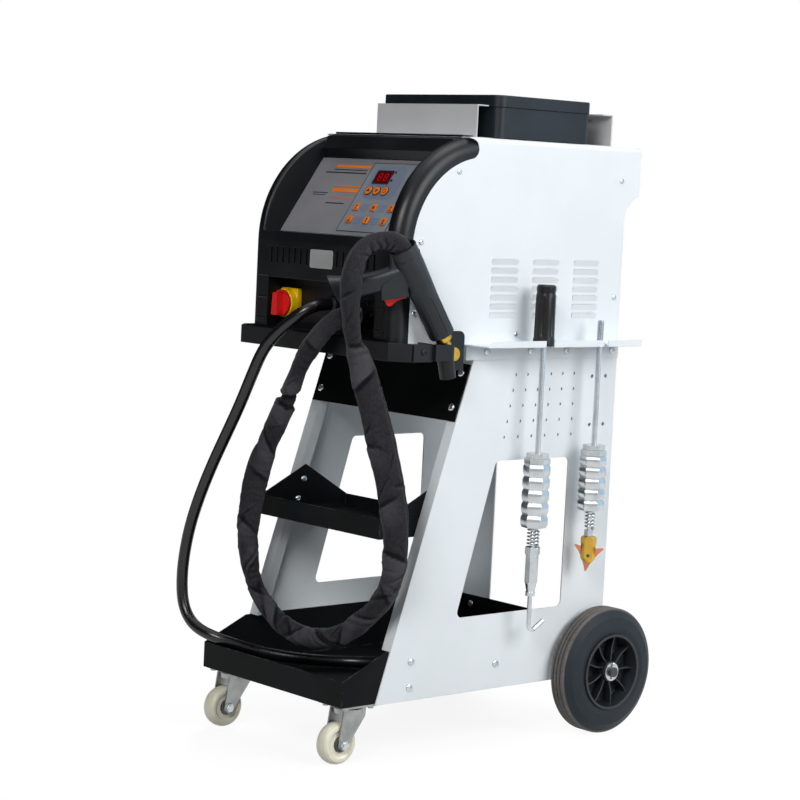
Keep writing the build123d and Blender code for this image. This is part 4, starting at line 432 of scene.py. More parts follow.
def tyre_rubber(name):
    """Black sidewalls and a tread that is grey with dust from the floor."""
    f = Finish(name, specular_ior_level=0.3)
    back = f.axis("Y") - AXLE_Y * MM
    up = f.axis("Z") - WHEEL_R * MM
    out = (back * back + up * up).root()
    cloud = f.cloud(26, 4)
    grit = f.cloud(420, 3).within(0.42, 0.7)
    wall = f.mix(cloud, (0.006, 0.010, 0.014), (0.013, 0.021, 0.029))
    dust = f.mix(cloud * 0.6 + grit * 0.4, (0.06, 0.056, 0.052), (0.19, 0.178, 0.165))
    f.coat(
        base_color=f.mix(out.within(TREAD_FROM * MM, TREAD_TO * MM), wall, dust),
        roughness=grit * 0.12 + 0.55,
        normal=f.relief(f.cloud(1800, 2), RUBBER_DEPTH, f.soft_edges(RUBBER_EDGE)),
    )
    return f.material


def cable_jacket(name):
    """Smooth black rubber jacket, a little dull where it is handled."""
    f = Finish(name, specular_ior_level=0.5)
    cloud = f.cloud(30, 3)
    f.coat(
        base_color=f.mix(cloud, (0.003, 0.003, 0.004), (0.007, 0.007, 0.009)),
        roughness=cloud * 0.08 + 0.23,
    )
    return f.material


def sleeve_canvas(name):
    """Charcoal canvas: a plain weave on the sleeve's own UV map, with a painted highlight on the folds'
    ridges and painted shade in their creases.
    """
    f = Finish(name, specular_ior_level=0.1, sheen_weight=0.1, sheen_roughness=0.5)
    weave = (f.axis("X", "UV") * WEAVE).sine() * (f.axis("Y", "UV") * WEAVE).sine()
    # painted light: the cloth's height paints highlights on its ridges and shade in its creases
    painted_fold_light = f.node("ShaderNodeAttribute", {"attribute_name": "painted_fold_light"}, output="Fac")
    fibre = f.cloud(700, 3, 0.7)
    mottle = f.cloud(260, 4, 0.65).within(0.3, 0.72)
    light = painted_fold_light * 0.95 + mottle * 0.16 + fibre * 0.40 + weave * 0.08 - 0.46
    f.coat(
        base_color=f.mix(light, (0.005, 0.005, 0.0065), (0.080, 0.077, 0.090)),
        roughness=0.94 - fibre * 0.1,
        normal=f.relief(weave * 0.5 + fibre, CANVAS_DEPTH),
    )
    return f.material


def lit_segments(name):
    """Glowing red bars behind a tinted window, a little uneven."""
    f = Finish(name, roughness=0.3, specular_ior_level=0.2, emission_strength=0.35)
    cloud = f.cloud(500, 2)
    f.coat(
        base_color=f.mix(cloud, (0.30, 0.004, 0.006), (0.24, 0.003, 0.005)),
        emission_color=f.mix(cloud, (0.62, 0.010, 0.014), (0.50, 0.006, 0.010)),
    )
    return f.material


def slot_finishes():
    """The finish of each material slot, and those of the small fittings."""
    return {
        "white_paint": powder_coat(
            "white_powder", (0.80, 0.85, 0.885), (0.77, 0.82, 0.855), (0.62, 0.62, 0.62),
            0.36, 0.00005, 0.35),
        "black_paint": powder_coat(
            "black_powder", (0.0045, 0.005, 0.0055), (0.008, 0.009, 0.010), (0.30, 0.30, 0.31),
            0.4, 0.00009, 0.07),
        "grey_sheet": powder_coat(
            "grey_sheet", (0.53, 0.53, 0.535), (0.57, 0.57, 0.575), (0.60, 0.60, 0.61),
            0.34, 0.00004, 0.4),
        "black_plastic": moulded_plastic(
            "black_moulding", (0.0035, 0.004, 0.005), (0.006, 0.007, 0.009), 0.28, 0.00003, 0.30),
        "panel_grey": moulded_plastic(
            "panel_grey", (0.19, 0.19, 0.205), (0.22, 0.22, 0.235), 0.4, 0.00003, 0.3),
        "key_grey": moulded_plastic(
            "key_film_grey", (0.19, 0.205, 0.245), (0.22, 0.24, 0.28), 0.36, 0.00002, 0.3),
        "display_red": moulded_plastic(
            "display_red", (0.105, 0.002, 0.005), (0.085, 0.0015, 0.004), 0.16, 0.000005, 0.08),
        "yellow_plastic": moulded_plastic(
            "yellow_moulding", (0.98, 0.62, 0.006), (0.95, 0.58, 0.005), 0.34, 0.00003),
        "red_plastic": moulded_plastic(
            "red_moulding", (0.78, 0.016, 0.016), (0.72, 0.012, 0.013), 0.32, 0.00003),
        "zinc": bare_metal("zinc_plate", (0.62, 0.65, 0.67), (0.52, 0.55, 0.57), 0.18, (1, 1, 12)),
        "brass": bare_metal("brass", (0.68, 0.43, 0.07), (0.56, 0.34, 0.05), 0.24),
        "copper": bare_metal("copper", (0.70, 0.29, 0.16), (0.56, 0.22, 0.12), 0.28),
        "tyre_rubber": tyre_rubber("tyre_rubber"),
        "nylon": moulded_plastic(
            "cream_nylon", (0.86, 0.84, 0.70), (0.80, 0.77, 0.60), 0.22, 0.00001, 0.6),
        "sleeve_cloth": sleeve_canvas("sleeve_canvas"),
        "cable_rubber": cable_jacket("cable_jacket"),
        "core_steel": bare_metal("core_steel", (0.30, 0.30, 0.31), (0.22, 0.22, 0.23), 0.4),
        "aluminium": bare_metal("aluminium", (0.70, 0.71, 0.72), (0.62, 0.63, 0.64), 0.28),
        "board_green": moulded_plastic(
            "board_green", (0.02, 0.16, 0.05), (0.015, 0.12, 0.04), 0.3, 0.00002),
        "pressed_steel": bare_metal("pressed_steel", (0.36, 0.37, 0.36), (0.27, 0.28, 0.27), 0.26),
        "dark_steel": bare_metal("dark_steel", (0.10, 0.10, 0.105), (0.06, 0.06, 0.065), 0.32),
        "gun_plastic": moulded_plastic(
            "gun_moulding", (0.008, 0.0105, 0.0135), (0.013, 0.017, 0.022), 0.34, 0.00006, 0.38),
        "rim_plastic": moulded_plastic(
            "rim_moulding", (0.010, 0.0125, 0.0155), (0.016, 0.020, 0.025), 0.30, 0.00004, 0.45),
        "box_plastic": moulded_plastic(
            "box_moulding", (0.003, 0.007, 0.0105), (0.006, 0.012, 0.018), 0.38, 0.00012, 0.32, 700),
        "badge_grey": powder_coat(
            "badge_plate", (0.33, 0.33, 0.33), (0.37, 0.37, 0.37), (0.55, 0.55, 0.55),
            0.3, 0.00002, 0.4),
        "orange_ink": moulded_plastic(
            "orange_ink", (0.80, 0.20, 0.012), (0.74, 0.17, 0.010), 0.45, 0.00002),
        "dark_ink": moulded_plastic(
            "dark_ink", (0.018, 0.018, 0.022), (0.026, 0.026, 0.03), 0.45, 0.00002, 0.2),
        "field_blue": moulded_plastic(
            "field_blue", (0.155, 0.185, 0.26), (0.175, 0.205, 0.28), 0.42, 0.00002, 0.3),
        "lit_red": lit_segments("lit_segments"),
        "thread_grey": moulded_plastic(
            "sewing_thread", (0.06, 0.059, 0.064), (0.085, 0.083, 0.09), 0.8, 0.00004, 0.1),
    }


OWN_FINISH = {
    "gun_body": "gun_plastic", "toolbox_body": "box_plastic", "toolbox_lid": "box_plastic",
    "rear_axle": "dark_steel", "caster_fork_left": "pressed_steel", "caster_fork_right": "pressed_steel",
    "caster_plates": "pressed_steel", "rim_left": "rim_plastic", "rim_right": "rim_plastic",
}
LOOK = slot_finishes()


def finish_nodes():
    """Gives every carried-over node the finish of its slot, or its own."""
    for name, node in NODES.items():
        for slot in node.material_slots:
            slot.material = LOOK[OWN_FINISH.get(name, slot.material.name.split(".")[0])]


# Hand tools: pieces are modelled in millimetres about their own middle, then set in their places

def begin(kind, **settings):
    """Adds a primitive with nothing else selected."""
    bpy.ops.object.select_all(action="DESELECT")
    getattr(bpy.ops.mesh, f"primitive_{kind}_add")(**settings)
    return bpy.context.object


def choose(piece, kind, test):
    """In edit mode, selects only the faces or edges that pass the test."""
    bpy.ops.object.mode_set(mode="EDIT")
    bpy.ops.mesh.select_mode(type=kind)
    bpy.ops.mesh.select_all(action="DESELECT")
    shape = bmesh.from_edit_mesh(piece.data)
    for item in shape.faces if kind == "FACE" else shape.edges:
        if test(item):
            item.select_set(True)
    bmesh.update_edit_mesh(piece.data)


def everything(item):
    return True


def close_shape():
    """Fills open ends, turns the faces outwards and leaves edit mode."""
    bpy.ops.mesh.select_all(action="SELECT")
    bpy.ops.mesh.fill_holes(sides=0)
    bpy.ops.mesh.select_all(action="SELECT")
    bpy.ops.mesh.normals_make_consistent(inside=False)
    bpy.ops.object.mode_set(mode="OBJECT")


def pull(x, y, z):
    bpy.ops.mesh.extrude_region_move(TRANSFORM_OT_translate={"value": (x, y, z)})


def lifted(piece, x, y, z):
    """Moves a piece's mesh."""
    choose(piece, "FACE", everything)
    bpy.ops.transform.translate(value=(x, y, z))
    bpy.ops.object.mode_set(mode="OBJECT")
    return piece


def moved_out(piece, distance, heading):
    """Moves a piece's mesh away from the axis, along a heading in degrees."""
    turn = math.radians(heading)
    return lifted(piece, distance * math.cos(turn), distance * math.sin(turn), 0)


def change(piece, kind, **settings):
    """Adds a modifier and applies it."""
    bpy.context.view_layer.objects.active = piece
    made = piece.modifiers.new(kind.lower(), kind)
    for name, value in settings.items():
        setattr(made, name, value)
    bpy.ops.object.modifier_apply(modifier=made.name)


def block(wide, tall, thick, corner=0.0, edge=0.0):
    """A block that stands on z = 0, with round corners in plan and eased edges."""
    piece = begin("cube", size=1.0)
    choose(piece, "FACE", everything)
    bpy.ops.transform.resize(value=(wide, tall, thick))
    bpy.ops.transform.translate(value=(0, 0, thick / 2))
    if corner:
        choose(piece, "EDGE", lambda rib: abs(rib.verts[0].co.z - rib.verts[1].co.z) > thick / 2)
        bpy.ops.mesh.bevel(offset=corner, segments=5, affect="EDGES")
    bpy.ops.object.mode_set(mode="OBJECT")
    if edge:
        change(piece, "BEVEL", width=edge, segments=2, limit_method="ANGLE", angle_limit=0.6)
    return piece


def turned(sides, rings):
    """A turned piece drawn up from its lowest ring. Each ring is a radius and a height."""
    radius, height = rings[0]
    piece = begin("circle", vertices=sides, radius=radius, fill_type="NGON")
    choose(piece, "FACE", everything)
    bpy.ops.transform.translate(value=(0, 0, height))
    for next_radius, next_height in rings[1:]:
        pull(0, 0, next_height - height)
        share = next_radius / radius
        bpy.ops.transform.resize(value=(share, share, 1), center_override=(0, 0, next_height))
        radius, height = next_radius, next_height
    close_shape()
    return piece


def wound(radius, wire, sides, low, high, turns, steps):
    """A wire wound round the Z axis between two heights."""
    piece = begin("circle", vertices=sides, radius=wire)
    choose(piece, "EDGE", everything)
    bpy.ops.transform.rotate(value=math.pi / 2, orient_axis="X", center_override=(0, 0, 0))
    bpy.ops.transform.translate(value=(radius, 0, low))
    bpy.ops.object.mode_set(mode="OBJECT")
    change(piece, "SCREW", axis="Z", screw_offset=(high - low) / turns, iterations=turns, steps=steps,
           render_steps=steps)
    choose(piece, "FACE", everything)
    close_shape()
    return piece


def ring(radius, wire, around=48, section=10):
    """A wire ring with a slightly flattened section."""
    piece = begin(
        "torus", major_radius=radius, minor_radius=wire, major_segments=around, minor_segments=section)
    choose(piece, "FACE", everything)
    bpy.ops.transform.resize(value=(1, 1, 0.9))
    bpy.ops.object.mode_set(mode="OBJECT")
    return piece


def cut_away(piece, tool):
    change(piece, "BOOLEAN", operation="DIFFERENCE", object=tool, solver="EXACT")
    bpy.data.objects.remove(tool)


def facing(place, out, up=UP):
    """The frame at a place in millimetres whose Z points outwards."""
    z = Vector(out).normalized()
    x = up.cross(z)
    x = x.normalized() if x.length > 0.01 else RIGHT
    turn = Matrix((x, z.cross(x), z)).transposed().to_4x4()
    return Matrix.Translation(Vector(place) * MM) @ turn @ Matrix.Scale(MM, 4)


def shifted(base, x, y, z, turn=0.0):
    """A place on a frame, moved and turned about the frame's Z."""
    return base @ Matrix.Translation((x, y, z)) @ Matrix.Rotation(math.radians(turn), 4, "Z")


def gather(pieces):
    """Joins pieces into the first."""
    bpy.ops.object.select_all(action="DESELECT")
    for piece in pieces:
        piece.select_set(True)
    bpy.context.view_layer.objects.active = pieces[0]
    if len(pieces) > 1:
        bpy.ops.object.join()
    return pieces[0]


def copies(piece, frames):
    """A copy of the piece, with its own mesh, in each frame. The pattern goes."""
    made = []
    for place in frames:
        twin = piece.copy()
        twin.data = piece.data.copy()
        bpy.context.scene.collection.objects.link(twin)
        twin.matrix_world = place
        made.append(twin)
    bpy.data.objects.remove(piece)
    return made


def fit(name, pieces, slot, finish=None, body="machine"):
    """Joins pieces under one name, with their places in the mesh, and lets them ride on a body.

    The finish is the slot's own unless another is named.
    """
    piece = gather(pieces)
    bpy.ops.object.transform_apply(location=True, rotation=True, scale=True)
    bpy.ops.object.shade_smooth_by_angle(angle=SMOOTH_ANGLE)
    piece.name = name
    piece.data.name = name
    piece.data.materials.clear()
    piece.data.materials.append(LOOK[finish or slot])
    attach(piece, body)
    return piece


# Cords and cloth

def metres(points):
    return [Vector(point) * MM for point in points]


def route_curve(name, points, radius=0.0):
    """A smooth cord line with the route's points as its control points."""
    data = bpy.data.curves.new(name, "CURVE")
    data.dimensions = "3D"
    spline = data.splines.new("NURBS")
    spline.points.add(len(points) - 1)
    for control, point in zip(spline.points, points):
        control.co = (*point, 1.0)
    spline.use_endpoint_u = True
    spline.order_u = 3
    data.resolution_u = 16
    data.bevel_depth = radius
    data.bevel_resolution = 9
    data.use_fill_caps = True
    curve = bpy.data.objects.new(name, data)
    bpy.context.scene.collection.objects.link(curve)
    return curve


def line_points(points):
    """Points read from the route's own smooth line."""
    curve = route_curve("route_line", points)
    curve.data.resolution_u = 24
    bpy.context.view_layer.update()
    mesh = bpy.data.meshes.new_from_object(curve)
    line = [vertex.co.copy() for vertex in mesh.vertices]
    bpy.data.objects.remove(curve)
    bpy.data.meshes.remove(mesh)
    return line


def coil_points():
    """In on the top layer, down a layer, and out again on the low one, then straight to the clamp."""
    step = 2 * math.pi / COIL_POINTS
    spread = 1 / math.cos(step / 2)
    points = []
    for count in range(1, int(COIL_TURNS * COIL_POINTS)):
        turn = count / COIL_POINTS
        radius = (COIL_R - COIL_STEP * min(turn, 2 - turn)) * spread
        drop = min(max((turn - 0.75) / 0.5, 0.0), 1.0)
        z = COIL_HIGH_Z + (COIL_LOW_Z - COIL_HIGH_Z) * (1 - math.cos(math.pi * drop)) / 2
        x = COIL_X + radius * math.cos(2 * math.pi * turn)
        y = COIL_Y + radius * math.sin(2 * math.pi * turn)
        points.append((x, y, z))
    end_y = COIL_Y + COIL_R - COIL_STEP * (2 - COIL_TURNS)
    points.append((COIL_X, end_y, COIL_LOW_Z))
    points.append((COIL_X - COIL_TAIL / 2, end_y, COIL_LOW_Z))
    points.append((COIL_X - COIL_TAIL, end_y, COIL_LOW_Z))
    return points


def coil_ties():
    """Two flat straps round the coil's turns, each with a small buckle."""
    band = block(TIE_WIDE, TIE_TALL, 5.0, corner=9.0)
    choose(band, "FACE", lambda face: abs(face.normal.z) > 0.9)
    bpy.ops.mesh.delete(type="FACE")
    bpy.ops.object.mode_set(mode="OBJECT")
    change(band, "SOLIDIFY", thickness=1.2, offset=1.0)
    buckle = block(9.0, 5.0, 7.0, corner=1.0, edge=0.4)
    tie = gather([band, lifted(buckle, 8.0, TIE_TALL / 2 + 1.5, -1.0)])
    frames = []
    for heading in TIE_TURNS:
        turn = math.radians(heading)
        out = Vector((math.cos(turn), math.sin(turn), 0))
        place = Vector((COIL_X, COIL_Y, (COIL_HIGH_Z + COIL_LOW_Z) / 2)) + out * (COIL_R - TIE_IN)
        frames.append(facing(place, UP.cross(out)))
    return fit("coil_ties", copies(tie, frames), "cable_rubber", "dark_ink")


def earth_lead():
    """The earth lead with its coil, and the ties on it."""
    route = metres(EARTH_ROUTE + [(COIL_X + COIL_R, COIL_Y, COIL_HIGH_Z)] + coil_points())
    lead = route_curve("earth_lead", route, EARTH_R * MM)
    lead.data.materials.append(LOOK["cable_rubber"])
    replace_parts(lead, "earth_cable", "earth_coil")
    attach(lead, "machine")
    held = [NODES["earth_clamp"], NODES["clamp_jaw"], coil_ties()]


def even_line(line, step):
    """The same line with points at an even distance."""
    lengths = [0.0]
    for before, after in zip(line, line[1:]):
        lengths.append(lengths[-1] + (after - before).length)
    count = round(lengths[-1] / step)
    points = []
    index = 0
    for k in range(count + 1):
        target = lengths[-1] * k / count
        while index < len(line) - 2 and lengths[index + 1] < target:
            index += 1
        share = (target - lengths[index]) / (lengths[index + 1] - lengths[index])
        points.append(line[index].lerp(line[index + 1], share))
    return points


def rise(value, low, high):
    """0 below low, 1 above high and a smooth rise between them."""
    share = min(max((value - low) / (high - low), 0.0), 1.0)
    return share * share * (3 - 2 * share)


def half_turn(angle):
    """The same heading, between half a turn back and half a turn on."""
    return (angle + math.pi) % (2 * math.pi) - math.pi


def fading(apart, reach):
    """1 in the middle of a fold and 0 where its reach round the sleeve ends."""
    return math.cos(apart / reach * math.pi / 2) ** 2


def squarish(value):
    """A sine or cosine, drawn out a little towards a square section."""
    return math.copysign(abs(value) ** 0.85, value)


class Sleeve:
    """The cloth sleeve's line, its changing section and its folds, in millimetres."""

    def __init__(self):
        smooth = even_line(line_points(metres(SLEEVE_ROUTE)), SLEEVE_RING * MM)
        self.line = [point / MM for point in smooth]
        self.step = sum((b - a).length for a, b in zip(self.line, self.line[1:])) / (len(self.line) - 1)
        self.marks = []
        for point in SLEEVE_ROUTE:
            near = min(range(len(self.line)), key=lambda k: (self.line[k] - Vector(point)).length)
            self.marks.append(near * self.step)
        self.frames = [self.frame(k) for k in range(len(self.line))]
        self.folds = [(self.along(place), *rest) for place, *rest in SLEEVE_FOLDS]
        self.seam = (self.along(SEAM_START), self.along(SEAM_END))
        self.creases = self.crease_list(random.Random(5))

    def along(self, place):
        """Distance along the sleeve of a place on the route."""
        index = min(int(place), len(self.marks) - 2)
        return self.marks[index] + (place - index) * (self.marks[index + 1] - self.marks[index])

    def frame(self, k):
        """Tangent, the direction across the sleeve's flat and the one out of it, to the front right."""
        ahead = self.line[min(k + 2, len(self.line) - 1)] - self.line[max(k - 2, 0)]
        tangent = ahead.normalized()
        side = (CAMERA_PLACE / MM - self.line[k]).cross(tangent).normalized()
        return tangent, side, tangent.cross(side)

    def half_sizes(self, s):
        """Half the width and half the thickness at a distance along the sleeve."""
        index = 0
        while index < len(self.marks) - 2 and self.marks[index + 1] < s:
            index += 1
        share = rise(s, self.marks[index], self.marks[index + 1])
        wide = SLEEVE_WIDTHS[index] + share * (SLEEVE_WIDTHS[index + 1] - SLEEVE_WIDTHS[index])
        thick = min(wide * 0.98, (SLEEVE_GIRTH - 2 * wide) / (math.pi - 2))
        return wide / 2, thick / 2

    def crease_list(self, draw):
        """Slanted creases: place, angle, slant, reach round the sleeve, width and depth."""
        creases = []
        for _ in range(SLEEVE_CREASES):
            creases.append((
                draw.uniform(CREASE_ENDS, SLEEVE_LENGTH / MM - CREASE_ENDS), draw.uniform(0, 2 * math.pi),
                draw.uniform(-2.2, 2.2), draw.uniform(0.5, 1.5), draw.uniform(1.6, 3.4),
                draw.uniform(0.5, 1.8)))
        return creases

    def gathers(self, k, s, angle, about):
        """Puckers on the inside of a bend."""
        before = self.frames[max(k - 3, 0)][0]
        after = self.frames[min(k + 3, len(self.line) - 1)][0]
        side, face = self.frames[k][1:]
        bend = (after - before) / (6 * self.step)
        inner = max(0.0, bend.dot(side * about.x + face * about.y)) * SLEEVE_R
        wander = 2.4 * noise.noise(Vector((s / 25, angle * 0.7, 3)))
        pinch = abs(math.sin(math.pi * s / PUCKER_PITCH + wander))
        return (pinch - 0.6) * PUCKER_DEPTH * min(inner, 0.6)

    def twist(self, s, angle):
        """Two grooves that wind round the bottom of the loop."""
        begun = rise(s, *(self.along(place) for place in TWIST_BEGINS))
        share = begun * (1 - rise(s, *(self.along(place) for place in TWIST_ENDS)))
        if share == 0.0:
            return 0.0
        wander = 1.2 * noise.noise(Vector((s / 60, 5, 1)))
        off = (angle - 2 * math.pi * s / TWIST_PITCH + wander) % math.pi - math.pi / 2
        depth = share * (0.7 + 0.6 * noise.noise(Vector((s / 45, 2, 9))))
        ridge = math.exp(-((off - 0.55) / 0.4) ** 2)
        return depth * (ridge - 2.0 * math.exp(-(off / 0.24) ** 2))

    def seam_angle(self, s):
        """Heading of the seam round the sleeve: from the right edge over to the inside of the bend."""
        return 0.55 + 1.5 * rise(s, *(self.along(place) for place in SEAM_TURNS))

    def height(self, k, angle):
        """How far the cloth stands out of its plain section."""
        s = k * self.step
        about = Vector((math.cos(angle), math.sin(angle), 0))
        height = self.gathers(k, s, angle, about) + self.twist(s, angle)
        for place, turn, slant, reach, width, depth in self.creases:
            apart = half_turn(angle - turn)
            if abs(place - s) < CREASE_REACH and abs(apart) < reach:
                across = (s - place - slant * apart * SLEEVE_R) / width
                ridge = 0.7 * math.exp(-(across - 1.2) ** 2)
                height += depth * fading(apart, reach) * (ridge - math.exp(-across * across))
        for place, stand, way, slant, heading, reach in self.folds:
            ahead = (s - place - slant * about.x) * way
            apart = half_turn(angle - heading)
            if abs(ahead) < CREASE_REACH and abs(apart) < reach:
                skirt = rise(ahead, 0.0, 3.0) * (1 - rise(ahead, 12.0, 45.0))
                roll = math.exp(-((ahead - 3.2) / 2.2) ** 2)
                tuck = math.exp(-((ahead + 2.5) / 3.5) ** 2)
                fade = 1.0 if reach > math.pi else fading(apart, reach)
                height += fade * stand * (0.7 * skirt + 0.4 * roll - 0.8 * tuck)
        if self.seam[0] < s < self.seam[1]:
            off = half_turn(angle - self.seam_angle(s)) * SLEEVE_R
            height += math.exp(-((off - 1.5) / 1.5) ** 2) - 0.8 * math.exp(-((off + 1.0) / 1.1) ** 2)
        return height

    def swell(self, k, angle):
        """The soft swells and hollows of the cloth between its folds."""
        s = k * self.step
        c = math.cos(angle)
        d = math.sin(angle)
        broad = 1.9 * noise.noise(Vector((s / 55, c * 0.8, d * 0.8)))
        return broad + 0.9 * noise.noise(Vector((s / 19, c * 1.9, d * 1.9 + 7)))

    def point(self, k, angle, extra=0.0):
        """A point of the cloth, and how far it stands out there."""
        side, face = self.frames[k][1:]
        wide, thick = self.half_sizes(k * self.step)
        ends = min(k, len(self.line) - 1 - k) * self.step
        height = self.height(k, angle) * rise(ends, 0.0, SLEEVE_ENDS)
        out = height + self.swell(k, angle) * rise(ends, 0.0, SLEEVE_ENDS)
        c = math.cos(angle)
        d = math.sin(angle)
        plain = side * wide * squarish(c) + face * thick * squarish(d)
        return self.line[k] + plain + (side * c + face * d) * (out - 0.4 + extra), height


def torch_sleeve():
    """The sleeve's cloth, ring by ring, with a UV map along and round it."""
    cloth = Sleeve()
    mesh = bmesh.new()
    painted_fold_light = mesh.verts.layers.float.new("painted_fold_light")
    rings = []
    for k in range(len(cloth.line)):
        ring_points = []
        for j in range(SLEEVE_SIDES):
            place, height = cloth.point(k, 2 * math.pi * j / SLEEVE_SIDES)
            vertex = mesh.verts.new(place * MM)
            # painted light: paler where the cloth stands out, darker where it sinks into a crease
            vertex[painted_fold_light] = min(max(0.45 + height / 3.6, 0.0), 1.0)
            ring_points.append(vertex)
        rings.append(ring_points)
    weave = mesh.loops.layers.uv.new("UVMap")
    around = SLEEVE_GIRTH / SLEEVE_SIDES
    for k, (low, high) in enumerate(zip(rings, rings[1:])):
        for j in range(SLEEVE_SIDES):
            following = (j + 1) % SLEEVE_SIDES
            face = mesh.faces.new((low[j], low[following], high[following], high[j]))
            face.smooth = True
            corners = ((j, k), (j + 1, k), (j + 1, k + 1), (j, k + 1))
            for loop, (u, v) in zip(face.loops, corners):
                loop[weave].uv = (u * around, v * cloth.step)
    mesh.faces.new(list(reversed(rings[0])))
    mesh.faces.new(rings[-1])
    data = bpy.data.meshes.new("torch_sleeve_cloth")
    mesh.to_mesh(data)
    mesh.free()
    sleeve = bpy.data.objects.new("torch_sleeve_cloth", data)
    bpy.context.scene.collection.objects.link(sleeve)
    data.materials.append(LOOK["sleeve_cloth"])
    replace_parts(sleeve, "torch_sleeve")
    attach(sleeve, "machine")
    on_it = [NODES["gun_body"], NODES["gun_trigger"], NODES["gun_nozzle"], seam_stitches(cloth)]
    cloth.line[-1] * MM
    [point * MM for point in reversed(cloth.line)]


def seam_stitches(cloth):
    """A row of stitches beside the sleeve's sewn seam."""
    stitch = block(*STITCH_SIZE, edge=0.3)
    frames = []
    place = cloth.seam[0] + STITCH_INSET
    while place < cloth.seam[1] - STITCH_INSET:
        k = round(place / cloth.step)
        angle = cloth.seam_angle(place) - 0.2
        tangent, side, face = cloth.frames[k]
        point = cloth.point(k, angle, -0.15)[0]
        out = side * math.cos(angle) + face * math.sin(angle)
        frames.append(facing(point, out, tangent))
        place += STITCH_PITCH
    return fit("sleeve_stitches", copies(stitch, frames), "sleeve_cloth", "thread_grey")


# Screws, springs and threads

def front_edge(z):
    """Front edge of the side panels at a height."""
    share = (z - EDGE_LOW[1]) / (EDGE_HIGH[1] - EDGE_LOW[1])
    return EDGE_LOW[0] + share * (EDGE_HIGH[0] - EDGE_LOW[0])


def cross_head(radius, height):
    """A domed head with a cross recess."""
    profile = ((1.0, 0.0), (1.0, 0.3), (0.94, 0.58), (0.8, 0.8), (0.55, 0.94), (0.25, 1.0))
    head = turned(32, [(radius * across, height * up) for across, up in profile])
    long = radius * 1.1
    narrow = radius * 0.26
    for wide, tall in ((long, narrow), (narrow, long)):
        cut_away(head, lifted(block(wide, tall, height, edge=narrow * 0.2), 0, 0, height * 0.45))
    return head


def scattered(frames, draw):
    """The same frames, each turned its own way about its axis."""
    return [shifted(place, 0, 0, 0, draw.uniform(0, 90)) for place in frames]


def screw_heads():
    """The screws of the trolley and the smaller ones of the cover."""
    draw = random.Random(3)
    large = []
    small = []
    for way in (1, -1):
        out = RIGHT * way
        large += [facing((way * SIDE_X, y, z), out) for y, z in TRAY_SCREWS]
        for z in SHELF_SCREWS:
            large.append(facing((way * SHELF_SCREW_X, front_edge(z) + SHELF_SCREW_BACK, z), -out))
        for z in FRONT_SCREWS:
            large.append(facing((way * FRONT_SCREW_X, front_edge(z) - FRONT_SCREW_OUT, z), EDGE_OUT))
        x, y, z = TRAY_REAR_SCREW
        large.append(facing((way * x, y, z), FRONT))
        small += [facing((way * SIDE_X, y, z), out) for y, z in COVER_SCREWS]
    large += [facing((RACK_SCREW_X, y, RACK_SCREW_Z), RIGHT) for y in RACK_SCREWS]
    heads = copies(cross_head(*LARGE_HEAD), scattered(large, draw))
    heads += copies(cross_head(*SMALL_HEAD), scattered(small, draw))
    piece = fit("screw_heads", heads, "zinc")
    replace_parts(piece, "screws")


def on_tool(piece, y, z=0.0):
    """The piece on the upright axis of a slide hammer."""
    return copies(piece, [facing((TOOL_X, y, z), UP)])


def tool_spring(radius, low, high):
    return wound(radius, SPRING_WIRE_R, 12, low, high, SPRING_TURNS, 36)


def coil_springs():
    """The springs that hold the sliding weights off the tools' lower ends, and the claw rod's thread."""
    hook = on_tool(tool_spring(*HOOK_SPRING), HOOK_Y)
    spring = fit("hook_spring_wire", hook, "zinc")
    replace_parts(spring, "hook_spring")
    claw = on_tool(tool_spring(*CLAW_SPRING), CLAW_Y)
    spring = fit("claw_spring_wire", claw, "zinc")
    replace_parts(spring, "claw_spring")
    radius, low, high = THREAD
    thread = wound(radius, THREAD_WIRE_R, 6, low, high, THREAD_TURNS, 20)
    fit("claw_rod_thread", on_tool(thread, CLAW_Y), "zinc")


# Control panel

PANEL = facing(PANEL_MIDDLE, PANEL_OUT)
SEGMENTS = (                   # bars of a digit: middle, width and height
    (0, 6, 5.4, 1.3), (0, 0, 5.4, 1.3), (0, -6, 5.4, 1.3), (3.4, 3, 1.3, 4.4), (3.4, -3, 1.3, 4.4),
    (-3.4, 3, 1.3, 4.4), (-3.4, -3, 1.3, 4.4))
KEY_MARKS = (                  # bars on each square key
    ((0, 2.8, 6, 1.2), (0, 0, 1.4, 5), (0, -3, 6, 1.2)),
    ((-1.6, 0, 1.6, 6), (1.6, 0, 1.6, 6), (0, 0, 4, 1.4)),
    ((0, 3, 4, 1.4), (0, -0.6, 1.6, 6), (0, -3.4, 6, 1.2)),
    ((0, 1.6, 1.6, 5), (0, -2, 4, 1.6), (0, -3.8, 6.4, 1.2)),
    ((0, 0, 1.8, 7), (0, 3.4, 4, 1.2)),
    ((0, 0, 1.6, 7), (0, -3.4, 6, 1.3), (0, 1.4, 3.6, 1.2)),
)
PRINTED_DARK = (
    (-60, 49, 78, 1.6), (-68, 43.5, 96, 2.2), (-53, -14, 43, 2.0), (-101, 4.5, 36, 1.5),
    (-101, 0.5, 30, 1.2))
PRINTED_ORANGE = ((-57.5, 55.5, 82, 5.0), (-43, 18.5, 64, 2.0), (-43, 10.5, 66, 7.0), (-43, -3.5, 62, 1.2))


def bars(places, level, thick=0.25):
    """Printed bars on the panel, each with its corners eased."""
    made = []
    for x, y, wide, tall in places:
        bar = block(wide, tall, thick, corner=min(wide, tall) * 0.22)
        made += copies(bar, [shifted(PANEL, x, y, level)])
    return made


def outline(wide, tall, rim, thick, corner):
    """A flat frame with round corners."""
    piece = block(wide, tall, thick, corner=corner)
    inner = block(wide - 2 * rim, tall - 2 * rim, 3 * thick, corner=max(corner - rim, 0.4))
    cut_away(piece, lifted(inner, 0, 0, -thick))
    return piece


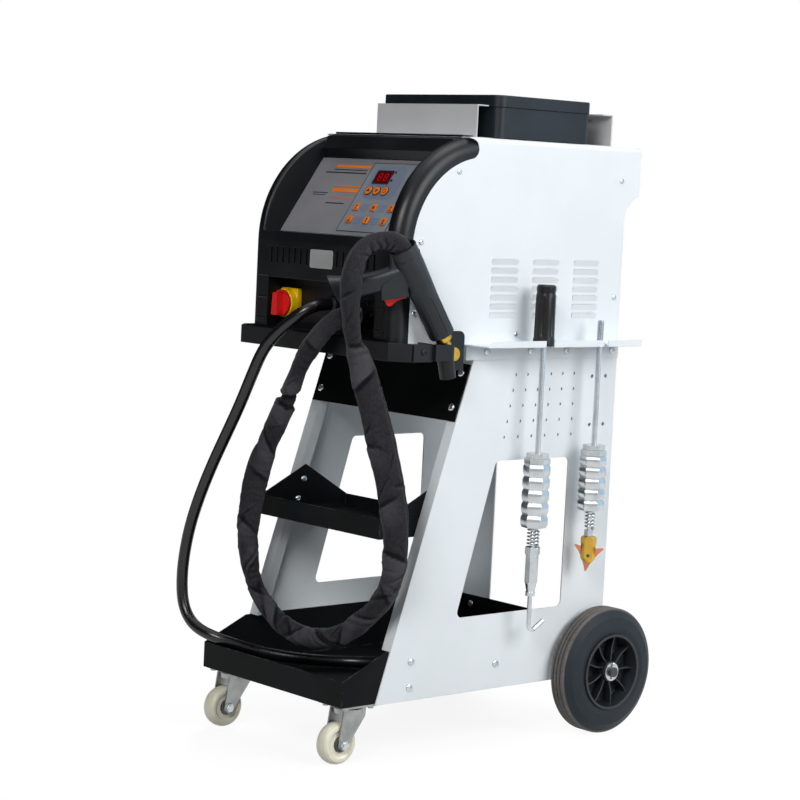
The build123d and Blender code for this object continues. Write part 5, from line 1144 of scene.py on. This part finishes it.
def panel_keys():
    """Caps of the keys, with plain marks."""
    cap = turned(40, [(7.15, -0.2), (7.15, 0.35), (6.85, 0.6), (0.6, 0.68)])
    rounds = [shifted(PANEL, x, ROUND_KEY_Y, ROUND_KEY_TOP) for x in ROUND_KEYS]
    caps = copies(cap, rounds)
    square = block(KEY_CAP, KEY_CAP, 0.6, corner=1.3, edge=0.15)
    places = [(x, y) for y in SQUARE_KEY_ROWS for x in SQUARE_KEYS]
    caps += copies(square, [shifted(PANEL, x, y, SQUARE_KEY_TOP) for x, y in places])
    fit("key_caps", caps, "key_grey", "orange_ink")
    marks = copies(ring(7.6, 0.45), rounds)
    for place, turn in zip(rounds, (0, 180)):
        arrow = turned(3, [(3.6, 0), (3.6, 0.3), (3.4, 0.4)])
        marks += copies(arrow, [shifted(place, 0, 0, ROUND_CAP_T, turn)])
    marks += copies(ring(3.1, 0.6, 28, 8), [shifted(rounds[2], 0, 0, ROUND_CAP_T)])
    for (x, y), figure in zip(places, KEY_MARKS):
        shown = [(x + dx, y + dy, wide, tall) for dx, dy, wide, tall in figure]
        marks += bars(shown, SQUARE_KEY_TOP + 0.5)
    fit("key_marks", marks, "key_grey", "dark_ink")


def panel_print():
    """Plain printed bars and fields, the film's outline, the lamps and the display."""
    lines = copies(outline(*FILM_SIZE, 0.9, 0.3, 2.0), [shifted(PANEL, *FILM_MIDDLE, FILM_TOP - 0.1)])
    lines += bars(PRINTED_DARK, -0.05)
    window = shifted(PANEL, *WINDOW_MIDDLE, WINDOW_TOP - 0.2)
    lines += copies(outline(*WINDOW_SIZE, 1.6, 0.6, 1.5), [window])
    fit("panel_lines", lines, "panel_grey", "dark_ink")
    fit("panel_bars", bars(PRINTED_ORANGE, -0.05), "panel_grey", "orange_ink")
    fields = [(35, 27, 72, 60)]
    fields += [(x + 17.5, y, 17, 14) for y in SQUARE_KEY_ROWS for x in SQUARE_KEYS[:2]]
    fit("panel_fields", bars(fields, FILM_TOP - 0.1, 0.2), "key_grey", "field_blue")
    lamp = turned(20, [(2.0, 0), (2.0, 0.5), (1.5, 1.0), (0.4, 1.2)])
    lamps = copies(lamp, [shifted(PANEL, *place, FILM_TOP) for place in PANEL_LAMPS])
    fit("panel_lamps", lamps, "display_red")
    digits = []
    for x in DIGITS:
        shown = [(WINDOW_MIDDLE[0] + x + sx, WINDOW_MIDDLE[1] + sy, w, t) for sx, sy, w, t in SEGMENTS]
        digits += bars(shown, WINDOW_TOP - 0.05)
    fit("display_digits", digits, "display_red", "lit_red")


# Bezel

def badge():
    """A blank badge with a raised rim on the bezel's front."""
    plate = block(52.5, 28, 1.8, corner=3.5, edge=0.3)
    choose(plate, "FACE", lambda face: face.normal.z > 0.9 and face.calc_area() > 200)
    bpy.ops.mesh.inset(thickness=2.0)
    bpy.ops.transform.translate(value=(0, 0, -0.6))
    bpy.ops.object.mode_set(mode="OBJECT")
    made = copies(plate, [facing(BADGE_PLACE, FRONT)])
    fit("blank_badge", made, "panel_grey", "badge_grey")


def pillar_bead(way, z):
    """One bead across the front of a bezel pillar, round its corner and back along its side."""
    bead = begin("circle", vertices=10, radius=BEAD_R)
    choose(bead, "EDGE", everything)
    bpy.ops.transform.rotate(value=math.pi / 2, orient_axis="Y", center_override=(0, 0, 0))
    bpy.ops.transform.translate(value=(way * BEAD_START, BEZEL_FRONT, z))
    corner_x, corner_y = PILLAR_CORNER
    pull(way * (corner_x - BEAD_START), 0, 0)
    bpy.ops.mesh.spin(
        steps=10, angle=way * math.pi / 2, center=(way * corner_x, corner_y, z), axis=(0, 0, 1))
    pull(0, BEAD_BACK, 0)
    close_shape()
    return bead


def bezel_beads():
    """Three beads on each pillar of the bezel."""
    beads = [pillar_bead(way, z) for way in (1, -1) for z in BEAD_HEIGHTS]
    for bead in beads:
        bead.scale = (MM, MM, MM)
    fit("bezel_beads", beads, "black_plastic")


def top_lip():
    """The bezel's lip over the front edge of the cover."""
    lip = copies(block(*LIP_SIZE, corner=3.0, edge=0.9), [facing(LIP_PLACE, UP)])
    fit("bezel_top_lip", lip, "black_plastic")


def switch_drum():
    """The main switch's base: a square plate and the round drum that carries the knob."""
    plate = block(41, 46, 9, corner=4, edge=0.8)
    drum = turned(64, [(21.6, 6), (21.6, SWITCH_DEPTH - 1.2), (20.6, SWITCH_DEPTH)])
    for part in (plate, drum):
        cut_away(part, turned(32, [(5.5, -2), (5.5, SWITCH_DEPTH + 2)]))
    wall = facing(SWITCH_PLACE, FRONT)
    made = copies(plate, [wall]) + copies(drum, [wall])
    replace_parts(fit("switch_drum", made, "yellow_plastic"), "switch_base")


# Gun, bracket and slide hammers

def along_gun(distance):
    """A frame on the barrel's axis, this far from its nose."""
    axis = (GUN_TAIL - GUN_NOSE).normalized()
    return facing(GUN_NOSE + axis * distance, axis)


def gun_fittings():
    """Two rings round the barrel's tail."""
    length = (GUN_TAIL - GUN_NOSE).length
    rim = copies(ring(20.0, 1.0, 64, 10), [along_gun(length - 0.6)])
    rim += copies(ring(20.9, 0.8, 64, 10), [along_gun(length - 15)])
    fit("gun_tail_rings", rim, "black_plastic", "gun_plastic")


def holder_fittings():
    """The holder's pale contact disc and the screw through its flange."""
    disc = turned(40, [(10, 0), (10, 1.2), (9.2, 1.8), (4.4, 1.9), (4.0, 1.2), (0.5, 1.1)])
    made = copies(disc, [facing(HOLDER_DISC_PLACE, RIGHT)])
    fit("holder_disc", made, "brass")
    screw = copies(cross_head(5.0, 2.8), [facing(HOLDER_SCREW_PLACE, RIGHT)])
    fit("holder_screw", screw, "black_plastic", "dark_ink")


def bracket_screws():
    """Screws and tabs at the foot of the tool box bracket's front."""
    places = [(x, BRACKET_SCREW_Y, BRACKET_SCREW_Z) for x in BRACKET_SCREWS]
    heads = copies(cross_head(5.0, 3.4), [facing(place, UP) for place in places])
    tab = block(16, 14, 1.6, corner=3.0, edge=0.3)
    tabs = copies(tab, [facing((x, BRACKET_TAB_Y, COVER_TOP), UP) for x in BRACKET_SCREWS])
    fit("bracket_screws", heads, "zinc")
    fit("bracket_tabs", tabs, "grey_sheet")


def claw_plate():
    """Three-point claw with hollow edges, in the head's slot."""
    plate = lifted(turned(3, [(CLAW_R, 0), (CLAW_R, 2.0), (CLAW_R - 0.4, 2.4)]), 0, 0, -1.2)
    choose(plate, "FACE", everything)
    bpy.ops.transform.rotate(value=math.radians(CLAW_TURN), orient_axis="Z", center_override=(0, 0, 0))
    bpy.ops.object.mode_set(mode="OBJECT")
    for heading in CLAW_HOLLOWS:
        hollow = turned(128, [(HOLLOW_R, -3), (HOLLOW_R, 3)])
        cut_away(plate, moved_out(hollow, HOLLOW_OUT, heading))
    made = copies(plate, [facing((TOOL_X, CLAW_Y, CLAW_Z), CLAW_OUT)])
    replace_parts(fit("claw_plate", made, "copper"), "claw")


def claw_pin():
    """The cross pin that holds the claw in its head."""
    pin = turned(24, [(2.1, -11.2), (2.5, -10.8), (2.5, 10.8), (2.1, 11.2)])
    made = copies(pin, [facing((TOOL_X, CLAW_Y, CLAW_Z), CLAW_OUT)])
    fit("claw_pin", made, "zinc", "dark_steel")


def puller_grip():
    """The hook puller's fluted handle with its ribbed cap."""
    rings = [(15.4, 0), (16.4, 1), (16.6, 8), (15.8, 12), (15.4, 40), (15.2, 76), (14.2, 79), (14.2, 82),
             (15.0, 84), (14.6, 90), (12.6, 92)]
    grip = turned(48, rings)
    for k in range(GRIP_FLUTES):
        flute = turned(24, [(5, 14), (6.5, 18), (6.5, 70), (5, 74)])
        cut_away(grip, moved_out(flute, FLUTE_OUT, k * 360 / GRIP_FLUTES))
    made = on_tool(grip, HOOK_Y, RACK_TOP)
    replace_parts(fit("puller_grip", made, "black_plastic"), "hook_grip")


# Panel, casters and rear

def peg_hole_shade():
    """Near-black liners on the walls of the right panel's peg holes: painted shade inside the holes."""
    liner = turned(16, [(PEG_R, 0), (PEG_R, SHEET_T)])
    cut_away(liner, turned(16, [(1.95, -1), (1.95, 3)]))
    frames = []
    for row in range(PEG_ROWS):
        step = PEG_STEP + row * PEG_SPREAD
        z = PEG_TOP - row * PEG_DROP
        for column in range(PEG_COLUMNS):
            frames.append(facing((SIDE_X - SHEET_T, PEG_REAR - column * step, z), RIGHT))
    # the liners' near-black ink is painted shade, not the colour of the punched steel
    fit("peg_hole_shade", copies(liner, frames), "white_paint", "dark_ink")


def caster_fittings():
    """Dark bearing seals on the caster wheels and the ball races above their forks."""
    for way, side in ((1, "right"), (-1, "left")):
        seal = turned(40, [(12.4, 10.0), (11.5, 13.3), (10.9, 13.6), (5.0, 13.6)])
        hub = (way * CASTER_X, CASTER_WHEEL_Y, CASTER_R)
        seals = copies(seal, [facing(hub, RIGHT), facing(hub, -RIGHT)])
        fit(f"caster_seals_{side}", seals, "core_steel", "dark_steel", f"caster_roller_{side}")
    places = [(way * CASTER_X, CASTER_Y, CASTER_RACE_Z) for way in (1, -1)]
    race = copies(ring(CASTER_RACE_R, 1.7, 56, 10), [facing(place, UP) for place in places])
    fit("caster_races", race, "core_steel", "dark_steel")


def rear_fittings():
    """Fan guard, mains inlet and the frame and blank of the rating plate on the back."""
    fan = facing(FAN_PLACE, REAR)
    guard = []
    for radius in FAN_RINGS:
        guard += copies(ring(radius, 1.4, 56, 8), [shifted(fan, 0, 0, 3)])
    spoke = lifted(block(2.6, 52, 2.2, edge=0.6), 0, 34, 1)
    guard += copies(spoke, [shifted(fan, 0, 0, 0, turn) for turn in (45, 135, 225, 315)])
    boss = turned(32, [(14, 1.6), (14, 4.0), (12, 5.0), (1, 5.2)])
    guard += copies(boss, [fan])
    fit("fan_guard", guard, "zinc")
    plate = outline(70, 44, 6, 1.6, 5)
    gland = turned(40, [(17, -1), (17, 4), (15, 6), (15, 14), (13, 16), (8, 16), (7.5, 10), (1, 9)])
    made = copies(plate, [facing(RATING_PLACE, REAR)])
    made += copies(gland, [facing(INLET_PLACE, REAR)])
    fit("rear_plate_frame", made, "black_plastic")
    blank = copies(block(57, 31, 1.0, corner=1.0, edge=0.2), [facing(RATING_PLACE, REAR)])
    fit("rating_plate_blank", blank, "aluminium")


# Stage

def camera():
    """The camera, rolled a little about its own line of sight."""
    ahead = (CAMERA_AIM - CAMERA_PLACE).normalized()
    level = ahead.cross(UP).normalized()
    right = Matrix.Rotation(-CAMERA_ROLL, 3, ahead) @ level
    up = right.cross(ahead)
    data = bpy.data.cameras.new("camera")
    data.lens = CAMERA_LENS
    data.sensor_width = CAMERA_SENSOR
    data.sensor_fit = "HORIZONTAL"
    data.clip_end = 50.0
    eye = bpy.data.objects.new("camera", data)
    bpy.context.scene.collection.objects.link(eye)
    eye.matrix_world = Matrix.Translation(CAMERA_PLACE) @ Matrix((right, up, -ahead)).transposed().to_4x4()
    bpy.context.scene.camera = eye


def area_lamp(name, place, size, watts, shine):
    """A round lamp turned to the object, which reflections show or leave out."""
    data = bpy.data.lights.new(name, "AREA")
    data.shape = "DISK"
    data.size = size
    data.energy = watts
    lamp = bpy.data.objects.new(name, data)
    bpy.context.scene.collection.objects.link(lamp)
    lamp.location = place
    lamp.visible_glossy = shine
    lamp.rotation_euler = (LAMP_AIM - Vector(place)).to_track_quat("-Z", "Y").to_euler()


def studio():
    """A white room: soft ambient light on the object and plain white behind it."""
    world = bpy.data.worlds.new("studio")
    bpy.context.scene.world = world
    world.use_nodes = True
    tree = world.node_tree
    ambient = tree.nodes["Background"]
    ambient.inputs["Strength"].default_value = AMBIENT
    ambient.inputs["Color"].default_value = (0.95, 0.975, 1.0, 1.0)
    white = tree.nodes.new("ShaderNodeBackground")
    white.inputs["Color"].default_value = (1.0, 1.0, 1.0, 1.0)
    path = tree.nodes.new("ShaderNodeLightPath")
    seen = path.outputs["Is Camera Ray"]
    for name in SEEN_THROUGH:
        either = tree.nodes.new("ShaderNodeMath")
        either.operation = "MAXIMUM"
        tree.links.new(seen, either.inputs[0])
        tree.links.new(path.outputs[name], either.inputs[1])
        seen = either.outputs[0]
    choice = tree.nodes.new("ShaderNodeMixShader")
    tree.links.new(seen, choice.inputs[0])
    tree.links.new(ambient.outputs[0], choice.inputs[1])
    tree.links.new(white.outputs[0], choice.inputs[2])
    tree.links.new(choice.outputs[0], tree.nodes["World Output"].inputs["Surface"])
    for lamp in LAMPS:
        area_lamp(*lamp)


def room_side(name, first, last, tall, color):
    """A part of the room's wall, between two headings, which only reflections see."""
    wall = begin("circle", vertices=72, radius=ROOM_R)
    choose(wall, "EDGE", everything)
    pull(0, 0, tall)
    middle = math.radians((first + last) / 2)
    half = math.cos(math.radians((last - first) / 2))

    def outside(face):
        spot = face.calc_center_median()
        return (spot.x * math.cos(middle) + spot.y * math.sin(middle)) / math.hypot(spot.x, spot.y) < half

    choose(wall, "FACE", outside)
    bpy.ops.mesh.delete(type="FACE")
    bpy.ops.object.mode_set(mode="OBJECT")
    wall.name = name
    f = Finish(name, base_color=ROOM_BLACK, roughness=1.0, specular_ior_level=0.0,
               emission_color=color, emission_strength=1.0)
    wall.data.materials.append(f.material)
    wall.visible_camera = False
    wall.visible_diffuse = False
    wall.visible_transmission = False
    wall.visible_shadow = False


def floor():
    """A pale floor that keeps the shadow near the object and is plain white further off."""
    ground = begin("plane", size=FLOOR_SIZE)
    ground.name = "floor"
    f = Finish("pale_floor", base_color=(0.40, 0.40, 0.40), roughness=0.9, specular_ior_level=0.0)
    seen = f.node("ShaderNodeLightPath", output="Is Camera Ray")
    for name in SEEN_THROUGH:
        seen = seen.maths("MAXIMUM", seen, f.node("ShaderNodeLightPath", output=name))
    away = (f.axis("X") * f.axis("X") + f.axis("Y") * f.axis("Y")).root()
    far = away.within(FLOOR_PALE, FLOOR_WHITE)
    white = f.node("ShaderNodeEmission", inputs={"Color": (1, 1, 1), "Strength": 1.0})
    glow = f.node("ShaderNodeEmission", inputs={"Color": (1, 1, 1), "Strength": 0.9})
    dim = f.node("ShaderNodeBsdfDiffuse", inputs={"Color": (0.13, 0.13, 0.13)})
    pale = f.node("ShaderNodeAddShader", inputs={0: glow, 1: dim})
    shown = f.node("ShaderNodeMixShader", inputs={0: far, 1: pale, 2: white})
    choice = f.node("ShaderNodeMixShader", inputs={0: seen, 1: Signal(f, f.shader.outputs[0]), 2: shown})
    f.feed(f.tree.nodes["Material Output"].inputs["Surface"], choice)
    ground.data.materials.append(f.material)


bpy.context.scene.view_settings.view_transform = "Standard"
camera()
studio()
for side in ROOM_SIDES:
    room_side(*side)
floor()
finish_nodes()
earth_lead()
torch_sleeve()
screw_heads()
coil_springs()
panel_keys()
panel_print()
badge()
bezel_beads()
gun_fittings()
holder_fittings()
bracket_screws()
top_lip()
claw_plate()
claw_pin()
switch_drum()
puller_grip()
peg_hole_shade()
caster_fittings()
rear_fittings()
